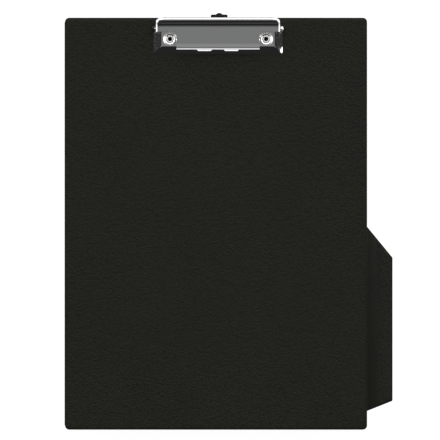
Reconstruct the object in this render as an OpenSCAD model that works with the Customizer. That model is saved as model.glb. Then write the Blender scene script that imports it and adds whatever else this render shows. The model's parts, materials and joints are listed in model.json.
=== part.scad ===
// Storage clipboard box: a vinyl-covered writing board that is the lid of a shallow box.
// The board carries a sprung steel clip with a sliding hanger. The box under it opens to
// the left like a book, and a flap in its right-hand wall folds down.
// It lies face up: +Z out of the writing face, +Y towards the clip, +X towards the flap.
// The origin is under the middle of the board, on the face that the box rests on.

/* [Board] */
// Width of the writing board
board_w = 231; // [200:1:260]
// Height of the writing board
board_h = 315; // [290:1:360]
// Radius of the board's four corners
corner_r = 3.3; // [2:0.1:8]
// Thickness of the greyboard inside the writing board
lid_core_t = 2.2; // [1.6:0.1:4]
// Thickness of every vinyl skin
skin_t = 0.4; // [0.3:0.05:0.6]
// Width of the welded edge, where the two skins meet outside the greyboard
edge_weld = 1.0; // [0.8:0.1:2]

/* [Box] */
// How far the box stays inside the board on its three free sides
tray_inset = 0.5; // [0:0.1:1.5]
// Thickness of the greyboard in the box's back panel and flap
panel_core_t = 1.2; // [1:0.1:2]
// Thickness of the greyboard in the box's walls
wall_core_t = 1.2; // [1.2:0.1:2]
// Gap between the walls' top edges and the board
lid_gap = 0.5; // [0.3:0.1:1]

/* [Side flap] */
// How far the open flap reaches past the board's edge
flap_reach = 19.8; // [14:0.1:26]
// Height of the flap's lower end above the board's lower edge
flap_low = 13.8; // [8:0.1:30]
// Length of the flap along its fold
flap_fold_len = 141.8; // [90:0.1:160]
// Length that the upper chamfer takes off the free edge
flap_chamfer_top = 24.1; // [4:0.1:32]
// Length that the lower chamfer takes off the free edge
flap_chamfer_low = 7.9; // [3:0.1:20]
// Radius of the flap's corners
flap_corner_r = 1.2; // [0.6:0.1:3]
// Clearance round the flap in its opening
flap_gap = 0.3; // [0.2:0.05:0.6]
// Width of each half of the hinge tape over the fold
tape_w = 10; // [6:0.5:16]
// Thickness of the hinge tapes
tape_t = 0.3; // [0.2:0.05:0.35]

/* [Clip base plate] */
// Width of the base plate
plate_w = 98.5; // [90:0.5:120]
// How far the clip sits to the right of the board's middle
clip_shift = 1.5; // [-4:0.1:4]
// Distance of the plate's front edge below the board's top edge
plate_front = 27.8; // [26:0.1:34]
// Distance of the plate's rear edge below the board's top edge
plate_rear = 1.2; // [0.6:0.1:3]
// Thickness of the plate's sheet steel
plate_t = 0.8; // [0.6:0.05:1]
// Height of the plate's raised face above the board
plate_h = 2.8; // [2.4:0.05:3]
// Width of the plate's sloping margin
plate_margin = 6.2; // [4:0.1:8]
// Height of the margin's outer edge above the board
plate_foot = 0.2; // [0.1:0.05:0.5]
// Thickness of the ears that hold the pivot rod
ear_t = 0.8; // [0.6:0.1:1.2]

/* [Clip lever] */
// Width of the lever between its cheeks' outer faces
lever_w = 96; // [90:0.5:110]
// Width of the jaw between the rivets
jaw_w = 63.5; // [50:0.5:64]
// Thickness of the lever's sheet steel
lever_t = 0.8; // [0.6:0.05:1]
// Distance of the pivot below the board's top edge
pivot_back = 8.6; // [8:0.1:10]
// Height of the pivot above the board
pivot_h = 6.2; // [6:0.1:8]
// Distance from the pivot to the middle of the lever's sheet
lever_lift = 3.9; // [3.8:0.05:4.5]
// Slope of the jaw's face
jaw_slope = 13; // [10:0.5:16]
// Distance from the pivot to the jaw's front edge
jaw_reach = 15.8; // [15:0.1:16.5]
// Radius of the two bends of the jaw's turned-down lip
lip_r = 0.8; // [0.6:0.1:1.2]
// Width of the bevel between the lip's two bends
lip_bevel = 1.3; // [0.8:0.1:2]
// Radius of the hollow in front of the thumb edge
hollow_r = 8; // [6:0.1:10]
// Radius of the front half of the thumb edge's crown
crown_r = 4; // [3:0.1:5]
// Radius of the rear half of the crown, which turns down
crown_back_r = 1.8; // [1.2:0.1:2.4]
// Steepest slope between the hollow and the crown
thumb_slope = 38; // [32:1:44]
// Width of the flat strip behind the crown
thumb_edge = 0.9; // [0.4:0.1:1.5]
// Distance from the pivot to the thumb edge
thumb_reach = 8.8; // [8.6:0.1:10.5]
// Clearance of the jaw's scalloped sides round the rivets
scallop_clear = 1.2; // [0.6:0.1:2]
// Radius of the lever's rear corners, seen from above
lever_corner_r = 5; // [3:0.5:7]

/* [Pivot and spring] */
// Diameter of the pivot rod
rod_d = 2.4; // [2:0.1:2.6]
// Radial running clearance of the rod in its holes
rod_clear = 0.05; // [0.02:0.01:0.1]
// Diameter of the rod's peened heads
rod_head_d = 4.2; // [3.4:0.1:5]
// Length of each peened head
rod_head_l = 1.8; // [0.8:0.1:2.2]
// Diameter of the spring's wire
wire_d = 1.0; // [0.8:0.05:1]
// Diameter of the spring's coil, to the middle of its wire
coil_d = 4.8; // [4.4:0.1:4.8]
// Number of turns in the coil
coil_turns = 9; // [4:1:14]
// Gap between neighbouring turns
coil_gap = 0.55; // [0.45:0.05:1.5]
// Length of the spring's two legs
leg_l = 7; // [5:0.5:7]

/* [Rivets] */
// Distance between the two rivets
rivet_pitch = 73.4; // [70:0.1:75]
// Distance of the rivets below the board's top edge
rivet_back = 16.4; // [15:0.1:17]
// Diameter of the rivets' rolled heads
rivet_head_d = 10.3; // [8:0.1:11]
// Height of the rolled heads
rivet_head_h = 1.7; // [1.2:0.1:2.2]
// Diameter of the rivets' tubes
rivet_tube_d = 4.8; // [4:0.1:5]
// Diameter of the hole down each rivet
rivet_hole_d = 2.9; // [2:0.1:3]
// Diameter of the washers inside the box
washer_d = 12; // [10:0.5:16]
// Thickness of the washers
washer_t = 0.6; // [0.4:0.1:1]

/* [Hanger] */
// Width of the hanger's sliding shank
shank_w = 8; // [7:0.5:12]
// Thickness of the hanger's strip steel
hanger_t = 1.0; // [0.8:0.05:1]
// Width of the finger grip across the hanger's end
grip_w = 13; // [12:0.5:20]
// How far the hanger's rounded end stands past the board's top edge
hanger_out = 3.6; // [2:0.1:6]
// Diameter of the hanger's rounded end
hanger_end_d = 6.8; // [6:0.1:8]
// Diameter of the hanger's eye
eye_d = 4.2; // [3:0.1:4.4]
// How far the hanger slides out
hanger_travel = 11; // [6:0.5:12]
// Width of the guide rails beside the hanger
rail_w = 1.2; // [0.8:0.1:2]

/* [Closure] */
// Length of the bar magnets in the wall and of their strikes in the board
magnet_l = 14; // [8:0.5:20]
// Height of the bar magnets
magnet_h = 4; // [2:0.5:8]
// Width of the strikes
strike_w = 10; // [6:0.5:20]
// Thickness of the strikes
strike_t = 0.5; // [0.3:0.1:1]
// Distance of the magnets' middles from the flap's opening and from the box's top edge
magnet_back = 22; // [14:0.5:40]

/* [Hidden] */

$fn = 64;
vinyl = "#21221d";
greyboard = "#8a8378";
chrome = "silver";
blued = "#2b2b2c";
eps = 0.01;
// How far a cut reaches past the faces that it opens
over = 1;
// Smallest radius of an inner corner
least_r = 0.4;

// Places shared by the pieces
lid_t = lid_core_t + 2 * skin_t;
panel_t = panel_core_t + 2 * skin_t;
wall_t = wall_core_t + 2 * skin_t;
right_x = board_w / 2;
left_x = -right_x;
top_y = board_h / 2;
low_y = -top_y;
tray_right = right_x - tray_inset;
tray_top = top_y - tray_inset;
tray_r = max(corner_r - tray_inset, wall_t + least_r);

// The flap: folded up, its outer face is flush with the wall's outer face
fold_x = tray_right - panel_t;
fold_z = panel_t;
fold_gap = flap_gap / 2;
flap_tip = right_x + flap_reach;
flap_low_y = low_y + flap_low;
flap_top_y = flap_low_y + flap_fold_len;
wall_top = fold_z + flap_tip - fold_x + flap_gap;

// The board as the lid
lid_z0 = wall_top + lid_gap;
lid_z1 = lid_z0 + lid_t;
// The board turns about spine_x, spine_z, and the flap about fold_x, fold_z
hinge_clear = 0.15;
spine_x = left_x - tape_t - hinge_clear;
spine_z = wall_top + lid_gap / 2;
echo(board_hinge_mm = [spine_x, 0, spine_z], flap_fold_mm = [fold_x, 0, fold_z]);

// The clip, in the board's own heights
pivot_y = top_y - pivot_back;
pivot_z = lid_z1 + pivot_h;
front_y = top_y - plate_front;
rear_y = top_y - plate_rear;
rivet_y = top_y - rivet_back;
cavity_h = plate_h - plate_t;
shoulder_clear = 0.6;
shoulder_y = rivet_y + rivet_head_d / 2 + shoulder_clear;
rod_bore_r = rod_d / 2 + rod_clear;
side_clear = 0.3;
cheek_x = lever_w / 2 - lever_t;
ear_x = cheek_x - side_clear - ear_t;
ear_r = lever_lift - lever_t / 2 - side_clear;
echo(lever_pivot_mm = [clip_shift, pivot_y, pivot_z]);

// Moves a convex outline's corners inwards and rounds them: points run anticlockwise
function unit(v) = v / norm(v);
function outward(a, b) = unit([b[1] - a[1], a[0] - b[0]]);
function turn(a) = a < 0 ? a + 360 : a;
function corner(p, n1, n2, inset, r, steps) =
    let (c = p - (n1 + n2) / (1 + n1 * n2) * (inset + r),
         a1 = atan2(n1[1], n1[0]),
         sweep = turn(atan2(n2[1], n2[0]) - a1))
    r < eps ? [c] : [for (i = [0:steps]) let (a = a1 + sweep * i / steps) c + r * [cos(a), sin(a)]];
function inset_outline(pts, inset, r = 0, steps = 6) =
    let (n = len(pts))
    [for (i = [0:n - 1])
        each corner(pts[i],
                    outward(pts[(i + n - 1) % n], pts[i]),
                    outward(pts[i], pts[(i + 1) % n]),
                    inset, r, steps)];

// A rounded rectangle between two corners, moved in by inset
module rounded(x0, y0, x1, y1, r, inset = 0) {
    ri = max(r - inset, least_r);
    translate([x0 + inset + ri, y0 + inset]) square([x1 - x0 - 2 * (inset + ri), y1 - y0 - 2 * inset]);
    translate([x0 + inset, y0 + inset + ri]) square([x1 - x0 - 2 * inset, y1 - y0 - 2 * (inset + ri)]);
    for (x = [x0 + inset + ri, x1 - inset - ri], y = [y0 + inset + ri, y1 - inset - ri])
        translate([x, y]) circle(ri);
}

module board_outline(inset = 0) rounded(left_x, low_y, right_x, top_y, corner_r, inset);

module tray_outline(inset = 0) rounded(left_x, -tray_top, tray_right, tray_top, tray_r, inset);

// The flap as it lies open, seen from above
module flap_outline(inset = 0) {
    x0 = fold_x + fold_gap;
    pts = [
        [x0, flap_low_y], [right_x, flap_low_y], [flap_tip, flap_low_y + flap_chamfer_low],
        [flap_tip, flap_top_y - flap_chamfer_top], [right_x, flap_top_y], [x0, flap_top_y]
    ];
    polygon(inset_outline(pts, inset, max(flap_corner_r - inset, 0)));
}

// The hole that the flap closes in the right-hand wall, with clearance all round
module flap_doorway() {
    up = right_x - fold_x;
    tall = wall_top - fold_z + over;
    slope_low = flap_chamfer_low / flap_reach;
    slope_top = flap_chamfer_top / flap_reach;
    pts = [
        [flap_low_y - flap_gap, -eps], [flap_low_y - flap_gap, up],
        [flap_low_y - flap_gap + slope_low * (tall - up), tall],
        [flap_top_y + flap_gap - slope_top * (tall - up), tall],
        [flap_top_y + flap_gap, up], [flap_top_y + flap_gap, -eps]
    ];
    translate([tray_right - wall_t - over, 0, fold_z]) rotate([90, 0, 90])
        linear_extrude(wall_t + 2 * over) polygon(pts);
}

// Cuts the back panel's pieces back to the fold, beside the flap
module panel_fold_cut() {
    translate([fold_x - fold_gap, flap_low_y - flap_gap, -over])
        cube([tray_right - fold_x + fold_gap + over, flap_fold_len + 2 * flap_gap, panel_t + over + eps]);
}

// One skin of a covered panel: a sheet with a rim that reaches half way round the core
module skin(height) {
    linear_extrude(skin_t) children(0);
    linear_extrude(height) difference() {
        children(0);
        children(1);
    }
}

// Box: back panel, walls and their skins
module base_outer_cover() {
    color(vinyl) difference() {
        skin(panel_t / 2) {
            tray_outline();
            tray_outline(edge_weld);
        }
        panel_fold_cut();
    }
}

module base_lining() {
    color(vinyl) difference() {
        translate([0, 0, panel_t]) mirror([0, 0, 1]) skin(panel_t / 2) {
            tray_outline();
            tray_outline(edge_weld);
        }
        panel_fold_cut();
    }
}

module base_panel_core() {
    color(greyboard) difference() {
        translate([0, 0, skin_t]) linear_extrude(panel_core_t) tray_outline(edge_weld);
        panel_fold_cut();
    }
}

// A strip of the walls' greyboard between two corners in plan
module wall_strip(x0, y0, x1, y1) {
    translate([0, 0, panel_t]) linear_extrude(wall_top - skin_t - panel_t) intersection() {
        tray_outline(skin_t);
        translate([x0, y0]) square([x1 - x0, y1 - y0]);
    }
}

module left_wall_core() {
    x0 = left_x + skin_t;
    color(greyboard) wall_strip(x0, -tray_top, x0 + wall_core_t, tray_top);
}

module top_wall_core() {
    y1 = tray_top - skin_t;
    x0 = left_x + skin_t + wall_core_t;
    color(greyboard) wall_strip(x0, y1 - wall_core_t, tray_right - skin_t - wall_core_t, y1);
}

module bottom_wall_core() {
    y0 = skin_t - tray_top;
    x0 = left_x + skin_t + wall_core_t;
    color(greyboard) wall_strip(x0, y0, tray_right - skin_t - wall_core_t, y0 + wall_core_t);
}

// Magnets in the wall and strikes above them, each in a pocket with a little clearance
pocket_clear = 0.05;
magnet_side = 0.1;
magnet_ys = [flap_top_y + magnet_back, tray_top - magnet_back];

module magnet_places(grow = 0) {
    magnet_t = wall_core_t - 2 * magnet_side;
    for (y = magnet_ys)
        translate([tray_right - wall_t / 2 - magnet_t / 2 - grow, y - magnet_l / 2 - grow,
                   wall_top - skin_t - magnet_h - grow])
            cube([magnet_t + 2 * grow, magnet_l + 2 * grow, magnet_h + 2 * grow]);
}

module right_wall_core() {
    x1 = tray_right - skin_t;
    color(greyboard) difference() {
        wall_strip(x1 - wall_core_t, (flap_low_y + flap_top_y) / 2, x1, tray_top);
        flap_doorway();
        magnet_places(pocket_clear);
    }
}

module right_corner_core() {
    x1 = tray_right - skin_t;
    color(greyboard) difference() {
        wall_strip(x1 - wall_core_t, -tray_top, x1, (flap_low_y + flap_top_y) / 2);
        flap_doorway();
    }
}

module wall_outer_cover() {
    color(vinyl) difference() {
        union() {
            translate([0, 0, panel_t]) linear_extrude(wall_top - panel_t) difference() {
                tray_outline();
                tray_outline(skin_t);
            }
            translate([0, 0, wall_top - skin_t]) linear_extrude(skin_t) difference() {
                tray_outline();
                tray_outline(wall_t);
            }
        }
        flap_doorway();
    }
}

module wall_lining() {
    color(vinyl) difference() {
        translate([0, 0, panel_t]) linear_extrude(wall_top - skin_t - panel_t) difference() {
            tray_outline(wall_t - skin_t);
            tray_outline(wall_t);
        }
        flap_doorway();
    }
}

module closure_magnets() {
    color(chrome) magnet_places();
}

// The vinyl strip that hinges the board to the box, in its two halves
module spine_hinge_strip() {
    run = 2 * (tray_top - tray_r);
    color(vinyl) translate([left_x - tape_t, -run / 2, panel_t])
        cube([tape_t, run, wall_top - panel_t]);
}

module lid_spine_strip() {
    run = 2 * (tray_top - tray_r);
    color(vinyl) translate([left_x - tape_t, -run / 2, lid_z0])
        cube([tape_t, run, lid_t - skin_t / 2]);
}

// The tape over the flap's fold, in its two halves
tape_y0 = flap_low_y + flap_corner_r;
tape_run = flap_fold_len - 2 * flap_corner_r;
tape_clear = tape_t + hinge_clear;

module flap_hinge_tape() {
    color(vinyl) translate([fold_x - tape_clear - tape_w, tape_y0, panel_t])
        cube([tape_w, tape_run, tape_t]);
}

module flap_tape_half() {
    color(vinyl) translate([fold_x + tape_clear, tape_y0, panel_t]) intersection() {
        cube([tape_w, tape_run, tape_t]);
        translate([-fold_x - tape_clear, -tape_y0, 0]) linear_extrude(tape_t) flap_outline(edge_weld);
    }
}

module flap_core() {
    color(greyboard) translate([0, 0, skin_t]) linear_extrude(panel_core_t) flap_outline(edge_weld);
}

module flap_outer_cover() {
    color(vinyl) skin(panel_t / 2) {
        flap_outline();
        flap_outline(edge_weld);
    }
}

module flap_lining() {
    color(vinyl) translate([0, 0, panel_t]) mirror([0, 0, 1]) skin(panel_t / 2) {
        flap_outline();
        flap_outline(edge_weld);
    }
}

// Writing board
module rivet_places() {
    for (side = [-1, 1]) translate([clip_shift + side * rivet_pitch / 2, rivet_y, 0]) children();
}

module rivet_bores() {
    rivet_places() translate([0, 0, lid_z0 - over])
        cylinder(h = lid_t + plate_h + 2 * over, d = rivet_tube_d);
}

module strike_places(grow = 0) {
    strike_edge = 0.4;
    x1 = right_x - edge_weld - strike_edge;
    for (y = magnet_ys)
        translate([x1 - strike_w - grow, y - magnet_l / 2 - grow, lid_z0 + skin_t - grow])
            cube([strike_w + 2 * grow, magnet_l + 2 * grow, strike_t + 2 * grow]);
}

module closure_strikes() {
    color(chrome) strike_places();
}

module lid_board_core() {
    color(greyboard) difference() {
        translate([0, 0, lid_z0 + skin_t]) linear_extrude(lid_core_t) board_outline(edge_weld);
        rivet_bores();
        strike_places(pocket_clear);
    }
}

module lid_front_cover() {
    color(vinyl) difference() {
        translate([0, 0, lid_z1]) mirror([0, 0, 1]) skin(lid_t / 2) {
            board_outline();
            board_outline(edge_weld);
        }
        rivet_bores();
    }
}

module lid_back_cover() {
    color(vinyl) difference() {
        translate([0, 0, lid_z0]) skin(lid_t / 2) {
            board_outline();
            board_outline(edge_weld);
        }
        rivet_bores();
    }
}

// Clip base plate: a pressed pan with a raised face and sloping margins
margin_slope = atan((plate_h - plate_foot) / plate_margin);
sheet_drop = plate_t / cos(margin_slope);
foot_in = (sheet_drop - plate_foot) / tan(margin_slope);
face_in = (cavity_h - plate_foot + sheet_drop) / tan(margin_slope);

// The plate's outer profile between near and far, with the second margin or without it
module plate_profile(near, far, both) {
    polygon([[near, 0], [near, plate_foot], [near + plate_margin, plate_h],
             [far - (both ? plate_margin : 0), plate_h], [far, both ? plate_foot : plate_h], [far, 0]]);
}

// The hollow under it, one sheet thickness in
module cavity_profile(near, far, both) {
    polygon([[near + foot_in, -over], [near + foot_in, 0], [near + face_in, cavity_h],
             [far + (both ? -face_in : over), cavity_h], [far + (both ? -foot_in : over), 0],
             [far + (both ? -foot_in : over), -over]]);
}

module plate_block() {
    intersection() {
        rotate([90, 0, 90]) translate([0, 0, -plate_w / 2]) linear_extrude(plate_w)
            plate_profile(front_y, rear_y, false);
        translate([0, rear_y, 0]) rotate([90, 0, 0]) linear_extrude(rear_y - front_y)
            plate_profile(-plate_w / 2, plate_w / 2, true);
    }
}

module plate_cavity() {
    intersection() {
        rotate([90, 0, 90]) translate([0, 0, -plate_w / 2]) linear_extrude(plate_w)
            cavity_profile(front_y, rear_y, false);
        translate([0, rear_y + over, 0]) rotate([90, 0, 0]) linear_extrude(rear_y - front_y + 2 * over)
            cavity_profile(-plate_w / 2, plate_w / 2, true);
    }
}

// Behind the shoulder the plate has no side margins, so that the lever's cheeks pass it
module plate_rear_cuts() {
    face_x = plate_w / 2 - plate_margin;
    for (side = [0, 1]) mirror([side, 0, 0]) translate([face_x, shoulder_y, -over])
        cube([plate_margin + over, rear_y - shoulder_y + over, plate_h + 2 * over]);
}

// The flat tongue that reaches out to the ears there
module ear_tongue() {
    translate([-ear_x - ear_t, shoulder_y, cavity_h])
        cube([2 * (ear_x + ear_t), rear_y - shoulder_y, plate_t]);
}

module ear() {
    translate([0, pivot_y, 0]) rotate([90, 0, 90]) linear_extrude(ear_t) difference() {
        union() {
            translate([0, pivot_h]) circle(ear_r);
            translate([-ear_r, 0]) square([2 * ear_r, pivot_h]);
        }
        translate([0, pivot_h]) circle(rod_bore_r);
    }
}

// The hanger slides between two rails under the plate, a little right of its middle
shank_clear = 0.2;
hook_x = 0.9;
rail_len = 7;
grip_h = 2.6;
grip_back = 1.2;
eye_wall = 0.6;
stop_l = 3;

module clip_base_plate() {
    color(chrome) difference() {
        translate([clip_shift, 0, lid_z1]) {
            difference() {
                plate_block();
                difference() {
                    plate_cavity();
                    // Pressed seats under the rivets
                    for (side = [-1, 1]) translate([side * rivet_pitch / 2, rivet_y, -over])
                        cylinder(h = plate_h + 2 * over, d = rivet_head_d);
                    // Guide rails of the hanger
                    for (side = [-1, 1])
                        translate([hook_x + side * (shank_w / 2 + shank_clear + rail_w / 2) - rail_w / 2,
                                   rear_y - rail_len, -over])
                            cube([rail_w, rail_len + over, plate_h + 2 * over]);
                }
                plate_rear_cuts();
            }
            ear_tongue();
            for (x = [-ear_x - ear_t, ear_x]) translate([x, 0, 0]) ear();
        }
        rivet_bores();
    }
}

// Rivets: a rolled head on the plate, a tube through the board and a clenched end
clench_h = 0.8;
clench_w = 1.2;

module rivet() {
    z_seat = lid_z1 + plate_h;
    z_washer = lid_z0 - washer_t;
    roll_r = rivet_head_h / 2;
    difference() {
        union() {
            translate([0, 0, z_seat + roll_r]) rotate_extrude($fn = 96)
                translate([rivet_head_d / 2 - roll_r, 0]) circle(roll_r, $fn = 40);
            translate([0, 0, z_seat]) cylinder(h = roll_r, d = rivet_head_d - 2 * roll_r);
            translate([0, 0, z_washer]) cylinder(h = z_seat - z_washer + roll_r, d = rivet_tube_d);
            translate([0, 0, z_washer - clench_h]) cylinder(h = clench_h, d = rivet_tube_d + 2 * clench_w);
        }
        translate([0, 0, z_washer - clench_h - over])
            cylinder(h = z_seat + rivet_head_h - z_washer + clench_h + 2 * over, d = rivet_hole_d);
    }
}

module clip_rivets() {
    color(chrome) rivet_places() rivet();
}

module rivet_washers() {
    color(chrome) rivet_places() translate([0, 0, lid_z0 - washer_t]) difference() {
        cylinder(h = washer_t, d = washer_d);
        translate([0, 0, -over]) cylinder(h = washer_t + 2 * over, d = rivet_tube_d);
    }
}

// Pivot rod with a peened head outside each cheek
module pivot_rod() {
    half = lever_w / 2 + side_clear;
    color(chrome) translate([clip_shift, pivot_y, pivot_z]) rotate([0, 90, 0]) {
        translate([0, 0, -half - rod_head_l]) cylinder(h = 2 * (half + rod_head_l), d = rod_d);
        for (z = [-half - rod_head_l, half]) translate([0, 0, z]) cylinder(h = rod_head_l, d = rod_head_d);
    }
}

// Torsion spring: one wire along the lower leg, round the rod and out along the upper leg.
// Both legs point to the rear. The lower one presses on the plate, the upper one lifts the
// lever behind its pivot. Angles turn about the rod, from straight forward over the top.
turn_steps = 8;
upper_slope = jaw_slope + 4;
lower_slope = 3;
coil_start = 270 + lower_slope;
spring_sweep = 360 * coil_turns + 180 - upper_slope - lower_slope;
coil_pitch = wire_d + coil_gap;
coil_len = coil_pitch * spring_sweep / 360;
coil_n = round(turn_steps * spring_sweep / 360);
function on_coil(a, x) = [x, -coil_d / 2 * cos(a), coil_d / 2 * sin(a)];
function along(a) = [0, sin(a), cos(a)];
coil_points = [for (i = [0:coil_n])
    on_coil(coil_start + spring_sweep * i / coil_n, coil_len * (i / coil_n - 0.5))];
leg_steps = 3;
spring_path = concat(
    [for (i = [leg_steps:-1:1]) coil_points[0] - along(coil_start) * leg_l * i / leg_steps],
    coil_points,
    [for (i = [1:leg_steps])
        coil_points[coil_n] + along(coil_start + spring_sweep) * leg_l * i / leg_steps]
);
path_n = len(spring_path);
spring_gap = min([for (i = [0:path_n - 1], j = [i + turn_steps - 2:1:path_n - 1])
    norm(spring_path[i] - spring_path[j])]) - wire_d;
echo(spring_least_gap_to_itself_mm = spring_gap);

module tube(path, r, sides = 6) {
    n = len(path);
    rings = [for (i = [0:n - 1])
        let (t = unit(path[min(i + 1, n - 1)] - path[max(i - 1, 0)]),
             u = unit(cross(t, [1, 0, 0])),
             v = cross(t, u))
        for (k = [0:sides - 1]) path[i] + r * (u * cos(360 * k / sides) + v * sin(360 * k / sides))];
    walls = [for (i = [0:n - 2], k = [0:sides - 1])
        let (a = i * sides + k, b = i * sides + (k + 1) % sides)
        each [[a, a + sides, b], [b, a + sides, b + sides]]];
    first = [for (k = [1:sides - 2]) [0, k, k + 1]];
    last = [for (k = [1:sides - 2]) [(n - 1) * sides, (n - 1) * sides + k + 1, (n - 1) * sides + k]];
    polyhedron(rings, concat(walls, first, last));
}

module torsion_spring() {
    color(chrome) translate([clip_shift, pivot_y, pivot_z]) tube(spring_path, wire_d / 2);
}

// Lever: one sheet from the lip over the jaw's face to the thumb edge, seen from its end.
// Places are from the pivot, with y towards the thumb edge and z up.
function arc_from(p, r, a0, a1, steps) =
    let (s = a1 > a0 ? 1 : -1, c = p + s * r * [-sin(a0), cos(a0)])
    [for (i = [1:steps]) let (a = a0 + (a1 - a0) * i / steps) c + s * r * [sin(a), -cos(a)]];
function face_z(y) = (lever_lift + y * sin(jaw_slope)) / cos(jaw_slope);
function last(v) = v[len(v) - 1];
lip_turn = 88;
lip_slope = 41;
crown_fall = -45;
lip_start_y = lip_r * (sin(lip_turn) - sin(jaw_slope)) + lip_bevel * cos(lip_slope) - jaw_reach;
lip_start = [lip_start_y, face_z(lip_start_y)];
lip_bend = arc_from(lip_start, lip_r, jaw_slope + 180, lip_slope + 180, 3);
bevel_end = last(lip_bend) - lip_bevel * [cos(lip_slope), sin(lip_slope)];
lip_arc = concat(lip_bend, [bevel_end], arc_from(bevel_end, lip_r, lip_slope + 180, lip_turn + 180, 4));
lip_tip_y = last(lip_arc)[0];
margin_y = min(pivot_y + lip_tip_y - front_y, plate_margin);
lip_tip = [lip_tip_y, plate_foot + margin_y * tan(margin_slope) + side_clear - pivot_h];
crown_run = crown_r * sin(thumb_slope) - crown_back_r * sin(crown_fall);
hollow_y = thumb_reach - thumb_edge * cos(crown_fall) - crown_run
    - hollow_r * (sin(thumb_slope) - sin(jaw_slope));
hollow_start = [hollow_y, face_z(hollow_y)];
hollow_arc = arc_from(hollow_start, hollow_r, jaw_slope, thumb_slope, 8);
hollow_end = last(hollow_arc);
crown_front = arc_from(hollow_end, crown_r, thumb_slope, 0, 5);
crown_back = arc_from(last(crown_front), crown_back_r, 0, crown_fall, 5);
crown_end = last(crown_back);
thumb_tip = crown_end + thumb_edge * [cos(crown_fall), sin(crown_fall)];
function reversed(v) = [for (i = [len(v) - 1:-1:0]) v[i]];
lever_top = last(crown_front)[1] + lever_t;
lever_path = concat([lip_tip], reversed(lip_arc), [lip_start, hollow_start],
                    hollow_arc, crown_front, crown_back, [thumb_tip]);

function side_of(path, d) = [for (i = [0:len(path) - 1])
    let (a = path[max(i - 1, 0)], b = path[min(i + 1, len(path) - 1)], t = unit(b - a))
    path[i] + d * [-t[1], t[0]]];

module lever_section() {
    polygon(concat(side_of(lever_path, -lever_t / 2), reversed(side_of(lever_path, lever_t / 2))));
}

// The lever from above: a wide rear with rounded corners and a narrow jaw
module lever_plan() {
    rear = thumb_reach + lever_t;
    shoulder = shoulder_y - pivot_y;
    rounded(-lever_w / 2, shoulder, lever_w / 2, rear, lever_corner_r);
    translate([-lever_w / 2, shoulder]) square([lever_w, lever_corner_r]);
    difference() {
        translate([-jaw_w / 2, -jaw_reach - lever_t]) square([jaw_w, jaw_reach + rear - lever_corner_r]);
        for (side = [-1, 1]) translate([side * rivet_pitch / 2, rivet_y - pivot_y])
            circle(rivet_head_d / 2 + scallop_clear);
    }
}

// One cheek from its side: it hangs from the sheet and turns on the rod
cheek_r = 3.4;
cheek_back = [0.6, -1];

module cheek() {
    front = shoulder_y - pivot_y;
    rotate([90, 0, 90]) linear_extrude(lever_t) difference() {
        union() {
            circle(cheek_r);
            polygon(concat([[front, face_z(front)], [front / 2, front / 2], [cheek_r, 0]],
                           [hollow_end + cheek_back], reversed(hollow_arc), [hollow_start]));
        }
        circle(rod_bore_r);
    }
}

module clip_lever() {
    color(chrome) translate([clip_shift, pivot_y, pivot_z]) {
        intersection() {
            rotate([90, 0, 90]) translate([0, 0, -lever_w / 2]) linear_extrude(lever_w) lever_section();
            translate([0, 0, -pivot_h]) linear_extrude(pivot_h + lever_top + over) lever_plan();
        }
        for (x = [-lever_w / 2, cheek_x]) translate([x, 0, 0]) cheek();
    }
}

// Hanger: a flat strip that slides under the base plate
module hanging_hook() {
    end_y = top_y + hanger_out;
    end_r = hanger_end_d / 2;
    grip_y = end_y - grip_back - grip_h / 2;
    eye_y = grip_y - grip_h / 2 - eye_d / 2 - eye_wall;
    stop_w = shank_w + 2 * rail_w;
    stop_y1 = rear_y - rail_len - hanger_travel - side_clear;
    color(blued) translate([clip_shift + hook_x, 0, lid_z1 + (cavity_h - hanger_t) / 2])
        linear_extrude(hanger_t) difference() {
            union() {
                translate([0, end_y - end_r]) circle(end_r);
                translate([-shank_w / 2, stop_y1 - eps]) square([shank_w, grip_y - stop_y1]);
                translate([-(grip_w - grip_h) / 2, grip_y - grip_h / 2]) square([grip_w - grip_h, grip_h]);
                for (s = [-1, 1]) translate([s * (grip_w - grip_h) / 2, grip_y]) circle(grip_h / 2);
                translate([-stop_w / 2, stop_y1 - stop_l]) square([stop_w, stop_l]);
            }
            translate([0, eye_y]) circle(eye_d / 2);
        }
}

base_outer_cover();
base_panel_core();
base_lining();
left_wall_core();
top_wall_core();
bottom_wall_core();
right_wall_core();
right_corner_core();
wall_outer_cover();
wall_lining();
closure_magnets();
spine_hinge_strip();
flap_hinge_tape();
flap_core();
flap_outer_cover();
flap_lining();
flap_tape_half();
lid_board_core();
lid_front_cover();
lid_back_cover();
lid_spine_strip();
closure_strikes();
clip_base_plate();
pivot_rod();
torsion_spring();
clip_rivets();
rivet_washers();
clip_lever();
hanging_hook();
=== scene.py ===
# %% [markdown]
# # A storage clipboard box
# A writing board covered in black vinyl is the lid of a shallow box. A chromed lever clip with a
# sliding hanger sits at its top edge, and a flap in the right-hand wall lies folded down.
# The construction is loaded first, with every piece in its real place. Each step after that says
# what a piece is on the real object, how it could be made, and why it is made the way it is here.

# %% Load the construction
import json
import math

import bmesh
import bpy
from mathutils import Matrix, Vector
from mathutils.geometry import tessellate_polygon


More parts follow.
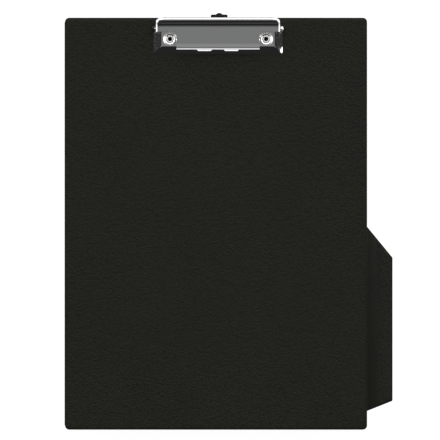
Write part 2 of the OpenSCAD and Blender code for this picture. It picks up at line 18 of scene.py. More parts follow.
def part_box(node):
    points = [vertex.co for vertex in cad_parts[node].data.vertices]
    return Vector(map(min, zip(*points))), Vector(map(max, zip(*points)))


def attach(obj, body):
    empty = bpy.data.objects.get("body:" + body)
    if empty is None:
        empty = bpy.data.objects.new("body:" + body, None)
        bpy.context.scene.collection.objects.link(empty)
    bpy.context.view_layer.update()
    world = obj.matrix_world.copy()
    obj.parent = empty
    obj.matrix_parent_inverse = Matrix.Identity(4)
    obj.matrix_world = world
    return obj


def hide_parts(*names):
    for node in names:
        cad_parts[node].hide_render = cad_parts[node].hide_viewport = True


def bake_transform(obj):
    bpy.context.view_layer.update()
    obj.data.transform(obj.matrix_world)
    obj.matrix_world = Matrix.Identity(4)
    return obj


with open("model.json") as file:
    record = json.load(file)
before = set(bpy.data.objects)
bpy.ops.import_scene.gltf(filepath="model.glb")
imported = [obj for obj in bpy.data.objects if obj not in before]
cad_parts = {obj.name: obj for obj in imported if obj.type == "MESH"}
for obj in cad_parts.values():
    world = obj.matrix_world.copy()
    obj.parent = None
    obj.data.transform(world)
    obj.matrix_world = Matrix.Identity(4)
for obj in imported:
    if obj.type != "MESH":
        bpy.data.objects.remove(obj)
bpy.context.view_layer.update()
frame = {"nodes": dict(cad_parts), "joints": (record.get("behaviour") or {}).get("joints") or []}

# %% [markdown]
# Sizes are written in millimetres, as a maker would, and become metres only when a mesh is made.
# The overall sizes are read from the construction, so a piece made here always fits its place.

# %% Sizes taken from the construction
MM = 0.001


def span(node):
    """The lowest and the highest corner of a piece of the construction, in millimetres."""
    low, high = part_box(node)
    return low / MM, high / MM


board_low = span("lid_back_cover")[0]
board_high = span("lid_front_cover")[1]
board_seam = (board_low.z + board_high.z) / 2
box_low = span("base_outer_cover")[0]
box_high = span("wall_outer_cover")[1]
panel_top = span("base_lining")[1].z
flap_low = span("flap_outer_cover")[0]
flap_high = span("flap_lining")[1]
places = {j["name"]: Vector(j["pos_m"]) / MM for j in frame["joints"] if "pos_m" in j}
spine, fold, pivot = places["lid_hinge"], places["flap_fold"], places["lever_pivot"]
print("board", [round(v, 2) for v in board_high - board_low], "mm, box height", round(box_high.z, 2))

# %% [markdown]
# ## Camera
# The photograph looks straight down on the board from far away, because no side of it shows. A long
# lens high above the board gives the same flat view and still is a real camera, so the other views
# work as well. The framing is a real size: the width of board that the picture takes in.

# %% Camera
FRAME_WIDTH = 336.4
FRAME_CENTRE = Vector((3.02, 2.84, board_high.z))
CAMERA_RISE = 9000
SENSOR_WIDTH = 36

lens = bpy.data.cameras.new("camera")
lens.sensor_width = SENSOR_WIDTH
lens.lens = SENSOR_WIDTH * CAMERA_RISE / FRAME_WIDTH
lens.clip_end = 2 * CAMERA_RISE * MM
camera = bpy.data.objects.new("camera", lens)
camera.location = (FRAME_CENTRE + Vector((0, 0, CAMERA_RISE))) * MM
bpy.context.scene.collection.objects.link(camera)
bpy.context.scene.camera = camera
bpy.context.scene.view_settings.view_transform = "Standard"
print("lens", round(lens.lens), "mm at", CAMERA_RISE / 1000, "m")

# %% [markdown]
# ## Colours and nodes
# Colours are written as sRGB hex values, the way a paint chart gives them. A shader needs linear
# light, so one function turns them. Another adds a node with its settings and its links, which
# keeps every material down to the few nodes that make its look.


# %% Helpers for materials
def linear(hex_colour):
    """An sRGB hex colour as linear red, green, blue and alpha."""
    channels = [int(hex_colour[i:i + 2], 16) / 255 for i in (1, 3, 5)]
    return [c / 12.92 if c <= 0.04045 else ((c + 0.055) / 1.055) ** 2.4 for c in channels] + [1]


def add_node(tree, kind, inputs=None, **settings):
    """A new node with its settings, and its inputs filled with values or with other nodes' outputs."""
    node = tree.nodes.new(kind)
    for name, value in settings.items():
        setattr(node, name, value)
    for key, value in (inputs or {}).items():
        if isinstance(value, bpy.types.NodeSocket):
            tree.links.new(value, node.inputs[key])
        else:
            node.inputs[key].default_value = value
    return node


def per_metre(size):
    """The texture scale that makes a pattern's cells about size millimetres wide."""
    return 1 / (size * MM)


def new_material(name, **surface):
    """A material, its node tree, its surface shader and its texture coordinates in metres."""
    material = bpy.data.materials.new(name)
    material.use_nodes = True
    tree = material.node_tree
    shader = tree.nodes["Principled BSDF"]
    for key, value in surface.items():
        shader.inputs[key.replace("_", " ")].default_value = value
    where = add_node(tree, "ShaderNodeTexCoord").outputs["Object"]
    return material, tree, shader, where


print("sRGB #808080 is", round(linear("#808080")[0], 3), "in linear light")

# %% [markdown]
# ## Studio
# Chrome shows its surroundings and little else, so the studio is built for the clip. Straight above
# is a mid-grey ceiling, which gives the flat faces their even grey. Low on the near side is a dark
# gap over a pale horizon. A white softbox behind the board lights the thumb edge, and two more at the
# sides light the cheeks. A sky shader can hold all of this as bands over the angle from straight
# up, one set along the board and one across it. The floor is pale and lit from below as well, as on
# a light table, so that it stays white round the object.

# %% Light round the object
# The bands go from one horizon (0) over the zenith (0.5) to the other horizon (1), with their light.
ALONG_BANDS = [(0, 0.02), (0.014, 0.02), (0.02, 1.4), (0.034, 1.4), (0.04, 0.8), (0.068, 0.8),
               (0.078, 0.07), (0.115, 0.07), (0.14, 0.02), (0.3, 0.02), (0.34, 0.22), (0.375, 0.23),
               (0.39, 0.3), (0.42, 0.3), (0.45, 0.23), (0.56, 0.23), (0.58, 2.6), (0.88, 2.6),
               (0.9, 0.05), (1, 0.05)]
ACROSS_BANDS = [(0, 3.2), (0.2, 3.2), (0.23, 0.028), (0.31, 0.028), (0.34, 0.23), (0.66, 0.23),
                (0.69, 0.028), (0.77, 0.028), (0.8, 3.2), (1, 3.2)]

world = bpy.data.worlds.new("studio")
bpy.context.scene.world = world
world.use_nodes = True
sky = world.node_tree
sky.nodes.clear()
direction = add_node(sky, "ShaderNodeTexCoord").outputs["Generated"]
parts = add_node(sky, "ShaderNodeSeparateXYZ", {"Vector": direction}).outputs


def light_bands(side, bands):
    """Grey bands over the angle between straight up and one side."""
    angle = add_node(sky, "ShaderNodeMath", {0: side, 1: parts["Z"]}, operation="ARCTAN2")
    share = add_node(sky, "ShaderNodeMapRange", {"Value": angle.outputs[0], "From Min": -math.pi / 2,
                                                 "From Max": math.pi / 2})
    ramp = add_node(sky, "ShaderNodeValToRGB", {"Fac": share.outputs["Result"]})
    stops = ramp.color_ramp.elements
    brightest = max(light for _, light in bands)
    for number, (place, light) in enumerate(bands):
        stop = stops[number] if number < 2 else stops.new(place)
        stop.position = place
        stop.color = [light / brightest] * 3 + [1]
    return add_node(sky, "ShaderNodeVectorMath", {0: ramp.outputs["Color"], "Scale": brightest},
                    operation="SCALE").outputs["Vector"]


print("sky:", len(ALONG_BANDS), "bands along and", len(ACROSS_BANDS), "across")

# %% [markdown]
# Each direction in the sky belongs to one set of bands by how far it leans along or across the
# board, worked out as a share of its flat length. The camera itself sees plain white past the
# floor, as in the photograph. The bands light everything else.

# %% The sky's two sets of bands mixed
# A higher power keeps the bands of the two sides to a narrower sector
SIDE_FOCUS = 3
CAMERA_SKY = "#FFFFFF"

across = add_node(sky, "ShaderNodeMath", {0: parts["X"], 1: parts["X"]}, operation="MULTIPLY").outputs[0]
along = add_node(sky, "ShaderNodeMath", {0: parts["Y"], 1: parts["Y"]}, operation="MULTIPLY").outputs[0]
whole = add_node(sky, "ShaderNodeMath", {0: across, 1: along}, operation="ADD").outputs[0]
square_share = add_node(sky, "ShaderNodeMath", {0: across, 1: whole}, operation="DIVIDE").outputs[0]
sideways = add_node(sky, "ShaderNodeMath", {0: square_share, 1: SIDE_FOCUS}, operation="POWER").outputs[0]
bands = add_node(sky, "ShaderNodeMix", {"Factor": sideways, "A": light_bands(parts["Y"], ALONG_BANDS),
                                        "B": light_bands(parts["X"], ACROSS_BANDS)},
                 data_type="VECTOR").outputs[1]
lit = add_node(sky, "ShaderNodeBackground", {"Color": bands})
seen = add_node(sky, "ShaderNodeBackground", {"Color": linear(CAMERA_SKY)})
first = add_node(sky, "ShaderNodeLightPath").outputs["Is Camera Ray"]
mixed = add_node(sky, "ShaderNodeMixShader", {0: first, 1: lit.outputs[0], 2: seen.outputs[0]})
add_node(sky, "ShaderNodeOutputWorld", {"Surface": mixed.outputs[0]})
print("sky shader of", len(sky.nodes), "nodes")

# %% [markdown]
# ## Meshes
# Every piece is made from points that are worked out in millimetres. Its faces are turned outwards
# and shaded smoothly, but an edge that bends by more than a set angle stays sharp, as a cut or
# folded edge does on the real piece.

# %% From points to a piece
CRISP = 35


def shade(mesh, crisp):
    """Turns all faces outwards and shades them smoothly, but not over edges of more than crisp degrees."""
    work = bmesh.new()
    work.from_mesh(mesh)
    bmesh.ops.recalc_face_normals(work, faces=work.faces)
    for face in work.faces:
        face.smooth = True
    for edge in work.edges:
        edge.smooth = edge.calc_face_angle(0) < math.radians(crisp)
    work.to_mesh(mesh)
    work.free()


def add_mesh(name, points, faces, materials, numbers=None, crisp=CRISP):
    """An object from points in millimetres. numbers gives each face's material."""
    mesh = bpy.data.meshes.new(name)
    mesh.from_pydata([Vector(p) * MM for p in points], [], faces)
    for material in materials:
        mesh.materials.append(material)
    if numbers:
        mesh.polygons.foreach_set("material_index", numbers)
    shade(mesh, crisp)
    piece = bpy.data.objects.new(name, mesh)
    bpy.context.scene.collection.objects.link(piece)
    return piece


def at_height(points, z):
    """A flat outline at one height."""
    return [(p[0], p[1], z) for p in points]


def rectangle(x0, y0, x1, y1):
    """The four corners, anticlockwise."""
    return [Vector((x0, y0)), Vector((x1, y0)), Vector((x1, y1)), Vector((x0, y1))]


print("edges of more than", CRISP, "degrees stay sharp")

# %% [markdown]
# ## Floor
# A plain pale sheet on a light table. Most of its white is light of its own, so that it stays even
# next to the object and is never so bright that it eats into the object's outline.

# %% Floor
FLOOR_SIDE = 16000
FLOOR_GLOW = 0.94

floor_paper, _, paper, _ = new_material("white_paper", Roughness=0.9)
paper.inputs["Base Color"].default_value = linear("#6C6C6C")
paper.inputs["Emission Color"].default_value = linear("#FFFFFF")
paper.inputs["Emission Strength"].default_value = FLOOR_GLOW
half_floor = FLOOR_SIDE / 2
floor = add_mesh("floor", at_height(rectangle(-half_floor, -half_floor, half_floor, half_floor), 0),
                 [(0, 1, 2, 3)], [floor_paper])
print("floor", FLOOR_SIDE / 1000, "m square")

# %% [markdown]
# ## Vinyl
# The covering is calendered PVC film, embossed with a leather grain between heated rollers. It is
# black with a trace of green-brown. The emboss breaks the light into many small soft highlights,
# so the face reads as an even charcoal and not as a mirror. The pebbles on such film are about
# a millimetre wide. They are drawn half as wide again, because otherwise they are too fine to show
# in a picture of the whole board. Cells from a Voronoi pattern, bent out of shape by noise, give
# domes with narrow creases, and a finer noise gives the skin on each pebble. The linings are the
# same film painted a shade lighter, as painted light against the shade that falls on the open flap.

# %% Embossed vinyl
PEBBLE = 1.5
PEBBLE_DEPTH = 0.17
SKIN_GRAIN = 0.45
# The film's tone changes a little from place to place, over about this distance
SHADE_PATCH = 40


def embossed_film(name, dark, light, roughness, specular, pebble, depth):
    """Black film with a leather emboss: pebble is the width of its grains, depth their height. Its colour
    goes from dark in the creases, as painted shade, to light on the pebbles.
    """
    material, tree, shader, where = new_material(name)
    shader.inputs["Specular IOR Level"].default_value = specular
    bent = add_node(tree, "ShaderNodeTexNoise", {"Vector": where, "Scale": per_metre(2 * pebble)})
    shift = add_node(tree, "ShaderNodeVectorMath", {0: bent.outputs["Color"], "Scale": pebble * MM},
                     operation="SCALE")
    warped = add_node(tree, "ShaderNodeVectorMath", {0: where, 1: shift.outputs["Vector"]})
    grains = add_node(tree, "ShaderNodeTexVoronoi", {"Vector": warped.outputs["Vector"],
                                                     "Scale": per_metre(pebble), "Smoothness": 0.4},
                      feature="SMOOTH_F1")
    fine = add_node(tree, "ShaderNodeTexNoise", {"Vector": where, "Scale": per_metre(SKIN_GRAIN),
                                                 "Detail": 3})
    coarse = add_node(tree, "ShaderNodeBump", {"Height": grains.outputs["Distance"],
                                               "Strength": 0.9, "Distance": depth * MM}, invert=True)
    both = add_node(tree, "ShaderNodeBump", {"Height": fine.outputs["Fac"], "Strength": 0.5,
                                             "Distance": depth * MM / 3,
                                             "Normal": coarse.outputs["Normal"]})
    tree.links.new(both.outputs["Normal"], shader.inputs["Normal"])
    # The creases are painted darker than the tops of the pebbles: painted shade in the emboss's hollows.
    painted_crease_shade = add_node(tree, "ShaderNodeMapRange", {"Value": grains.outputs["Distance"],
                                                   "From Min": 0.1, "From Max": 0.7,
                                                   "To Min": 0.8, "To Max": 0.0})
    patches = add_node(tree, "ShaderNodeTexNoise", {"Vector": where, "Scale": per_metre(SHADE_PATCH)})
    share = add_node(tree, "ShaderNodeMath", {0: patches.outputs["Fac"], 1: 0.4,
                                              2: painted_crease_shade.outputs["Result"]}, operation="MULTIPLY_ADD")
    tone = add_node(tree, "ShaderNodeMix", {"Factor": share.outputs[0], "A": linear(dark),
                                            "B": linear(light)}, data_type="RGBA")
    tree.links.new(tone.outputs[2], shader.inputs["Base Color"])
    gloss = add_node(tree, "ShaderNodeMapRange", {"Value": fine.outputs["Fac"],
                                                  "To Min": roughness - 0.04,
                                                  "To Max": roughness + 0.04})
    tree.links.new(gloss.outputs["Result"], shader.inputs["Roughness"])
    return material


embossed_vinyl = embossed_film("embossed_pvc_film", "#0D0E08", "#191A11", 0.4, 0.15, PEBBLE, PEBBLE_DEPTH)
# The lining's colours are lighter than the film's: painted light for the shade that falls on the open flap.
lining_vinyl_painted_lighter = embossed_film("embossed_pvc_lining_painted_lighter", "#0F100A", "#1D1E15", 0.42, 0.18, PEBBLE, PEBBLE_DEPTH)
print("embossed films, grains of", PEBBLE, "mm")

# %% [markdown]
# Along every edge the two skins are welded together by a hot bar, which melts the grain flat. The
# line is smoother, a little lower and darker than the face. The hinge strip and the fold's tape
# are a softer film with a finer, duller grain, because they have to bend many times.

# %% Welded edge and hinge film
welded_vinyl = embossed_film("welded_pvc_edge", "#0D0E09", "#13140E", 0.5, 0.1, PEBBLE, PEBBLE_DEPTH / 4)
hinge_vinyl = embossed_film("soft_pvc_hinge_film", "#0F100A", "#1A1B13", 0.5, 0.17, PEBBLE / 2,
                            PEBBLE_DEPTH / 2)
print("welded edge and hinge film made")

# %% [markdown]
# ## Covered panels
# Most pieces of the box are flat covered boards. Each is a stack of rings: the same outline, moved
# in a little and set at another height, ring by ring. That gives rounded corners, a rolled edge and
# a pressed weld line from real sizes, with no modelling by eye.

# %% Outlines and stacks of rings
LEAST_RADIUS = 0.15
CORNER_STEPS = 7


def outline(corners, radii, inset=0):
    """A polygon with its corners, which run anticlockwise, rounded, and all of it moved in by inset.
    A corner of radius 0 stays a single point, and may turn inwards."""
    points = []
    for i, (corner, radius) in enumerate(zip(corners, radii)):
        before = (corner - corners[i - 1]).normalized()
        after = (corners[(i + 1) % len(corners)] - corner).normalized()
        out_a, out_b = Vector((before.y, -before.x)), Vector((after.y, -after.x))
        both = (out_a + out_b) / (1 + out_a.dot(out_b))
        if radius == 0:
            points.append(corner - both * inset)
            continue
        r = max(radius - inset, LEAST_RADIUS)
        start = math.atan2(out_a.y, out_a.x)
        sweep = (math.atan2(out_b.y, out_b.x) - start) % (2 * math.pi)
        for k in range(CORNER_STEPS + 1):
            angle = start + sweep * k / CORNER_STEPS
            points.append(corner - both * (inset + r) + r * Vector((math.cos(angle), math.sin(angle))))
    return points


def loft(name, rings, materials, closed=False, strip_numbers=None, crisp=CRISP):
    """A skin over rings of as many points each. A closed loft runs back to its first ring, as round
    a tube, and an open one is capped at both ends. strip_numbers gives each strip's material."""
    count = len(rings[0])
    points = [p for ring in rings for p in ring]
    faces, numbers = [], []
    for i in range(len(rings) if closed else len(rings) - 1):
        a, b = i * count, (i + 1) % len(rings) * count
        faces += [(a + k, a + (k + 1) % count, b + (k + 1) % count, b + k) for k in range(count)]
        numbers += [strip_numbers[i] if strip_numbers else 0] * count
    if not closed:
        faces += [list(range(count)), list(range(len(points) - count, len(points)))]
        numbers += [0, 0]
    return add_mesh(name, points, faces, materials, numbers, crisp)


print("a rounded corner has", CORNER_STEPS + 1, "points")

# %% [markdown]
# A panel is a sheet of greyboard between two skins. Each skin lies over its face and turns down to
# the seam in the middle of the edge. The ring stack below starts inside the skin, goes down to the
# seam, comes up outside and crosses the weld line, so the skin is a closed sheet 0.4 mm thick.

# %% Skins
SKIN = 0.4
WELD = 1.0
WELD_LINE = 1.2
SEAM_GAP = 0.03
# The edge as (distance in from the outline, depth under the face), from the side to the flat face
PRESSED_EDGE = [(0, 0.4), (0.05, 0.24), (0.2, 0.15), (0.9, 0.13), (1.2, 0.07), (1.5, 0.015), (2, 0),
                (5, 0)]
PLAIN_EDGE = [(0, 0.15), (0.05, 0.05), (0.15, 0), (5, 0)]


def skin(name, corners, radii, face, seam, edge=PRESSED_EDGE, film=embossed_vinyl):
    """One skin of a covered panel, from its face to the seam."""
    inwards = 1 if seam > face else -1
    rim = abs(seam - face) - SEAM_GAP
    profile = [(WELD, SKIN), (WELD, rim), (0, rim)] + edge
    rings = [at_height(outline(corners, radii, inset), face + inwards * depth)
             for inset, depth in profile]
    welded = [int(i > 1 and profile[i + 1][0] <= WELD_LINE) for i in range(len(profile) - 1)]
    return loft(name, rings, [film, welded_vinyl], strip_numbers=welded)


print("a skin has", 3 + len(PRESSED_EDGE), "rings")

# %% [markdown]
# The writing board is the largest panel. Its skins have bores for the clip's two rivets, so one
# helper takes a solid out of a piece. Another puts a finished piece in its place: it rides on its
# body and hides the pieces of the construction that it stands for.

# %% Writing board
BOARD_RADIUS = 3.3
RIVET_TUBE = 4.8


def turns(start, end, count):
    """Angles in radians from start to end, given in degrees, in count equal steps."""
    return [math.radians(start + (end - start) * i / count) for i in range(count + 1)]


def circle(radius, steps=64):
    """Points round the origin, anticlockwise."""
    return [Vector((radius * math.cos(a), radius * math.sin(a))) for a in turns(0, 360, steps)[:-1]]


def cut(piece, cutter, crisp=CRISP):
    """Takes the cutter's solid out of the piece for good, and deletes the cutter."""
    change = piece.modifiers.new("cut", "BOOLEAN")
    change.object = cutter
    change.solver = "EXACT"
    bpy.context.view_layer.update()
    whole_piece = piece.evaluated_get(bpy.context.evaluated_depsgraph_get())
    mesh = bpy.data.meshes.new_from_object(whole_piece)
    piece.modifiers.clear()
    piece.data = mesh
    shade(mesh, crisp)
    bpy.data.objects.remove(cutter)


def place(piece, body, slot, *nodes):
    """Puts a finished piece on its body and hides the nodes that it stands for. Its slot, the name of its
    finish, is not used.
    """
    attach(piece, body)
    if nodes:
        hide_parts(*nodes)
    print(piece.name, "rides on", body, "with", len(piece.data.polygons), "faces")
    return piece


board_corners = rectangle(board_low.x, board_low.y, board_high.x, board_high.y)
rivet_low, rivet_high = span("clip_rivets")
washer_low, washer_high = span("rivet_washers")
washer_radius = (washer_high.y - washer_low.y) / 2
rivet_y = (washer_low.y + washer_high.y) / 2
rivet_xs = [washer_low.x + washer_radius, washer_high.x - washer_radius]


def board_skin(name, face):
    """A skin of the writing board, with the two holes for the rivets."""
    piece = skin(name, board_corners, [BOARD_RADIUS] * 4, face, board_seam)
    for number, x in enumerate(rivet_xs):
        ring = [p + Vector((x, rivet_y)) for p in circle(RIVET_TUBE / 2, 32)]
        cut(piece, loft("bore_%d" % number, [at_height(ring, board_low.z - 1),
                                             at_height(ring, board_high.z + 1)], [embossed_vinyl]))
    return piece


place(board_skin("board_front_skin", board_high.z), "lid", "vinyl", "lid_front_cover")
place(board_skin("board_back_skin", board_low.z), "lid", "vinyl", "lid_back_cover")

# %% [markdown]
# The back panel of the box has the same construction, with a notch on the right where the flap
# folds. Its lining has no weld line on the inside, because the walls stand on its edge.

# %% Back panel
BOX_RADIUS = 2.8
DOOR_GAP = 0.3
NOTCH_RADIUS = 0.5
# The skins reach just past the greyboard in the notch and cover its cut edge
NOTCH_COVER = 0.05

notch_x = flap_low.x - DOOR_GAP + NOTCH_COVER
notch_y0 = flap_low.y - DOOR_GAP + NOTCH_COVER
notch_y1 = flap_high.y + DOOR_GAP - NOTCH_COVER
right, top = box_high.x, box_high.y
panel_corners = [Vector(p) for p in (
    (box_low.x, -top), (right, -top), (right, notch_y0), (notch_x, notch_y0),
    (notch_x, notch_y1), (right, notch_y1), (right, top), (box_low.x, top))]
panel_radii = [BOX_RADIUS, BOX_RADIUS, NOTCH_RADIUS, 0, 0, NOTCH_RADIUS, BOX_RADIUS, BOX_RADIUS]
place(skin("back_panel_outer_skin", panel_corners, panel_radii, 0, panel_top / 2),
      "tray", "vinyl", "base_outer_cover")
place(skin("back_panel_lining", panel_corners, panel_radii, panel_top, panel_top / 2, PLAIN_EDGE,
           lining_vinyl_painted_lighter), "tray", "vinyl", "base_lining")

# %% [markdown]
# The walls are covered the same way. The outer skin turns over their top edge, where a small radius
# catches the light, and a lining closes the inside. Both go round the box in one closed loft, and
# the doorway of the flap is cut out afterwards with one solid, so that both end on the same line.

# %% Walls
WALL = 2.0
FLAP_CHAMFER_LOW = 7.9
FLAP_CHAMFER_TOP = 24.1

box_corners = rectangle(box_low.x, -top, right, top)
flap_reach = flap_high.x - board_high.x
door_bend = board_high.x - fold.x
door_tall = box_high.z - fold.z + 1


def doorway():
    """The solid that the flap's opening takes out of the right-hand wall."""
    low_run = FLAP_CHAMFER_LOW / flap_reach * (door_tall - door_bend)
    top_run = FLAP_CHAMFER_TOP / flap_reach * (door_tall - door_bend)
    y0, y1 = flap_low.y - DOOR_GAP, flap_high.y + DOOR_GAP
    shape = [(y0, 0), (y0, door_bend), (y0 + low_run, door_tall),
             (y1 - top_run, door_tall), (y1, door_bend), (y1, 0)]
    rings = [[(x, y, fold.z + z) for y, z in shape] for x in (right - WALL - 1, right + 1)]
    return loft("doorway", rings, [embossed_vinyl])


def wall_skin(name, profile, film):
    """A skin round all four walls: profile is its section as (distance in, height)."""
    rings = [at_height(outline(box_corners, [BOX_RADIUS] * 4, inset), z) for inset, z in profile]
    piece = loft(name, rings, [film], closed=True)
    cut(piece, doorway())
    return piece


TOP_ROUND = 0.45

z1 = box_high.z
outer_profile = [(0, panel_top), (0, z1 - TOP_ROUND), (0.13, z1 - 0.13), (TOP_ROUND, z1),
                 (WALL - 0.2, z1), (WALL, z1 - 0.12), (WALL, z1 - SKIN), (SKIN, z1 - SKIN),
                 (SKIN, panel_top)]
lining_profile = [(WALL - SKIN, panel_top), (WALL - SKIN, z1 - SKIN), (WALL, z1 - SKIN),
                  (WALL, panel_top)]
place(wall_skin("wall_outer_skin", outer_profile, embossed_vinyl), "tray", "vinyl", "wall_outer_cover")
place(wall_skin("wall_inner_lining", lining_profile, lining_vinyl_painted_lighter), "tray", "vinyl", "wall_lining")

# %% [markdown]
# The flap is a narrow panel of the same boards and film, with its two free corners cut off at
# a slant. It lies open, in line with the back panel.

# %% Flap
FLAP_RADIUS = 1.2

flap_corners = [Vector(p) for p in (
    (flap_low.x, flap_low.y), (board_high.x, flap_low.y), (flap_high.x, flap_low.y + FLAP_CHAMFER_LOW),
    (flap_high.x, flap_high.y - FLAP_CHAMFER_TOP), (board_high.x, flap_high.y),
    (flap_low.x, flap_high.y))]
place(skin("flap_outer_skin", flap_corners, [FLAP_RADIUS] * 6, 0, panel_top / 2),
      "flap", "vinyl", "flap_outer_cover")
place(skin("flap_inner_skin", flap_corners, [FLAP_RADIUS] * 6, panel_top, panel_top / 2,
           film=lining_vinyl_painted_lighter), "flap", "vinyl", "flap_lining")

# %% [markdown]
# ## Hinge films
# The board hangs on one strip of soft film down its left edge, and the flap on a tape over its
# fold. Each is one piece on the real object, so each is one mesh here too. The real film bends
# where the joint is, so the mesh has many rings close together there, and few elsewhere.


# %% Strips that bend
def steps(start, end, count):
    """Places in count equal steps from start, without the end itself."""
    return [start + (end - start) * i / count for i in range(count)]


BEND_REACH = 0.9
BEND_RINGS = 24
FLAT_RINGS = 8
STRIP_ROUND = 0.08

strip_low = span("spine_hinge_strip")[0]
strip_high = span("lid_spine_strip")[1]
strip_levels = (steps(strip_low.z, spine.z - BEND_REACH, FLAT_RINGS)
                + steps(spine.z - BEND_REACH, spine.z + BEND_REACH, BEND_RINGS)
                + steps(spine.z + BEND_REACH, strip_high.z, FLAT_RINGS) + [strip_high.z])
strip_ring = outline(rectangle(strip_low.x, strip_low.y, strip_high.x, strip_high.y), [STRIP_ROUND] * 4)
spine_film = loft("spine_film", [at_height(strip_ring, z) for z in strip_levels], [hinge_vinyl])
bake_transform(spine_film)
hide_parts("spine_hinge_strip", "lid_spine_strip")

tape_low = span("flap_hinge_tape")[0]
tape_high = span("flap_tape_half")[1]
tape_xs = (steps(tape_low.x, fold.x - BEND_REACH, FLAT_RINGS)
           + steps(fold.x - BEND_REACH, fold.x + BEND_REACH, BEND_RINGS)
           + steps(fold.x + BEND_REACH, tape_high.x, FLAT_RINGS) + [tape_high.x])


def tape_ring(x):
    """The tape's section at x. Past the board's edge it narrows along the flap's slanted ends."""
    past = max(0, x - board_high.x)
    low_slope, top_slope = FLAP_CHAMFER_LOW / flap_reach, FLAP_CHAMFER_TOP / flap_reach
    y0 = max(flap_low.y + FLAP_RADIUS, flap_low.y + past * low_slope + WELD * math.hypot(1, low_slope))
    y1 = min(flap_high.y - FLAP_RADIUS, flap_high.y - past * top_slope - WELD * math.hypot(1, top_slope))
    section = outline(rectangle(y0, tape_low.z, y1, tape_high.z), [STRIP_ROUND] * 4)
    return [(x, p.x, p.y) for p in section]


fold_tape = loft("fold_tape", [tape_ring(x) for x in tape_xs], [hinge_vinyl])
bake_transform(fold_tape)
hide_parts("flap_hinge_tape", "flap_tape_half")
print("spine film", len(strip_levels), "rings, fold tape", len(tape_xs), "rings")

# %% [markdown]
# ## Metals
# Bright chrome plate is a thin mirror over polished steel. Its colour is nearly neutral, and what
# makes it look real is that it isn't perfect: a faint orange peel from the polishing, and hair
# scratches that make the gloss uneven. Real scratches are far too fine to show at this distance,
# so they are drawn 0.3 mm wide. Nickel is warmer and softer. The spring is zinc-plated wire, drawn
# through a die, and the hanger is blackened strip with an oily, half-dull face. The closure's
# magnets are nickel-plated in a barrel and its strikes are plain rolled strip, so both blur what
# they reflect.

# %% Plated and blackened steel
# Width and height of the orange peel's waves
PEEL = 6
PEEL_DEPTH = 0.004
SCRATCH_LENGTH = 9
SCRATCH_WIDTH = 0.3


def plated(name, dark, light, roughness, spread):
    """Metal with a faint waviness and long fine scratches. spread is how much the gloss varies."""
    material, tree, shader, where = new_material(name, Metallic=1.0)
    waves = add_node(tree, "ShaderNodeTexNoise", {"Vector": where, "Scale": per_metre(PEEL)})
    bump = add_node(tree, "ShaderNodeBump", {"Height": waves.outputs["Fac"], "Strength": 1.0,
                                             "Distance": PEEL_DEPTH * MM})
    tree.links.new(bump.outputs["Normal"], shader.inputs["Normal"])
    drawn = add_node(tree, "ShaderNodeMapping", {"Vector": where,
                                                 "Scale": (SCRATCH_WIDTH / SCRATCH_LENGTH, 1, 1)})
    lines = add_node(tree, "ShaderNodeTexNoise", {"Vector": drawn.outputs["Vector"],
                                                  "Scale": per_metre(SCRATCH_WIDTH), "Detail": 2})
    gloss = add_node(tree, "ShaderNodeMapRange", {"Value": lines.outputs["Fac"],
                                                  "From Min": 0.35, "From Max": 0.65,
                                                  "To Min": roughness, "To Max": roughness + spread})
    tree.links.new(gloss.outputs["Result"], shader.inputs["Roughness"])
    tone = add_node(tree, "ShaderNodeMix", {"Factor": lines.outputs["Fac"], "A": linear(dark),
                                            "B": linear(light)}, data_type="RGBA")
    tree.links.new(tone.outputs[2], shader.inputs["Base Color"])
    return material


chrome = plated("bright_chrome_plate", "#E0E1E2", "#E8E8EA", 0.05, 0.05)
nickel = plated("bright_nickel_plate", "#E4E3E1", "#EDECEA", 0.1, 0.08)
spring_steel = plated("zinc_plated_wire", "#A9ACAE", "#C2C4C6", 0.28, 0.12)
# This blackened steel also colours the rod's left end, as painted shade.
black_steel = plated("blackened_steel_and_painted_shade", "#232324", "#303031", 0.38, 0.1)
bar_magnet = plated("nickel_plated_magnet", "#B9B9BA", "#C8C8CA", 0.22, 0.1)
plain_steel = plated("rolled_strip_steel", "#A5A5A8", "#B9B9BC", 0.34, 0.12)
print("six metals made")

# %% [markdown]
# ## Clip lever
# The lever is pressed from one sheet: a lip that grips the paper, a flat face, a hollow, and
# a rolled thumb edge, with a cheek bent down at each side for the pivot rod. Its middle surface
# is laid out as a grid. The rows follow the bent line of the sheet from the lip to the thumb
# edge, and the columns run across it and then round into the cheeks.

# %% The bent line of the sheet
BEND_STEP = 5


def bent_line(heading, moves):
    """Places and headings along a bent sheet, seen from its end. A move is a length straight on, or
    a (radius, new heading) round a bend. A heading is in degrees above straight back."""
    line = [(Vector((0, 0)), heading)]
    for move in moves:
        here, heading = line[-1]
        if not isinstance(move, tuple):
            turn = math.radians(heading)
            line.append((here + move * Vector((math.cos(turn), math.sin(turn))), heading))
            continue
        radius, goal = move
        side = 1 if goal > heading else -1
        centre = here + side * radius * across_heading(heading)
        count = max(2, round(abs(goal - heading) / BEND_STEP))
        for i in range(1, count + 1):
            angle = heading + (goal - heading) * i / count
            line.append((centre - side * radius * across_heading(angle), angle))
    return line


def across_heading(heading):
    """The direction square to a heading, on the outer side of the sheet."""
    turn = math.radians(heading)
    return Vector((-math.sin(turn), math.cos(turn)))


# Slopes, turns and levels are headings in degrees
SHEET = 0.8
JAW_SLOPE = 13
JAW_REACH = 15.8
LIP_TURN = 88
LIP_DROP = 3.4
LIP_RADIUS = 0.8
LIP_BEVEL = 1.3
BEVEL_SLOPE = 41
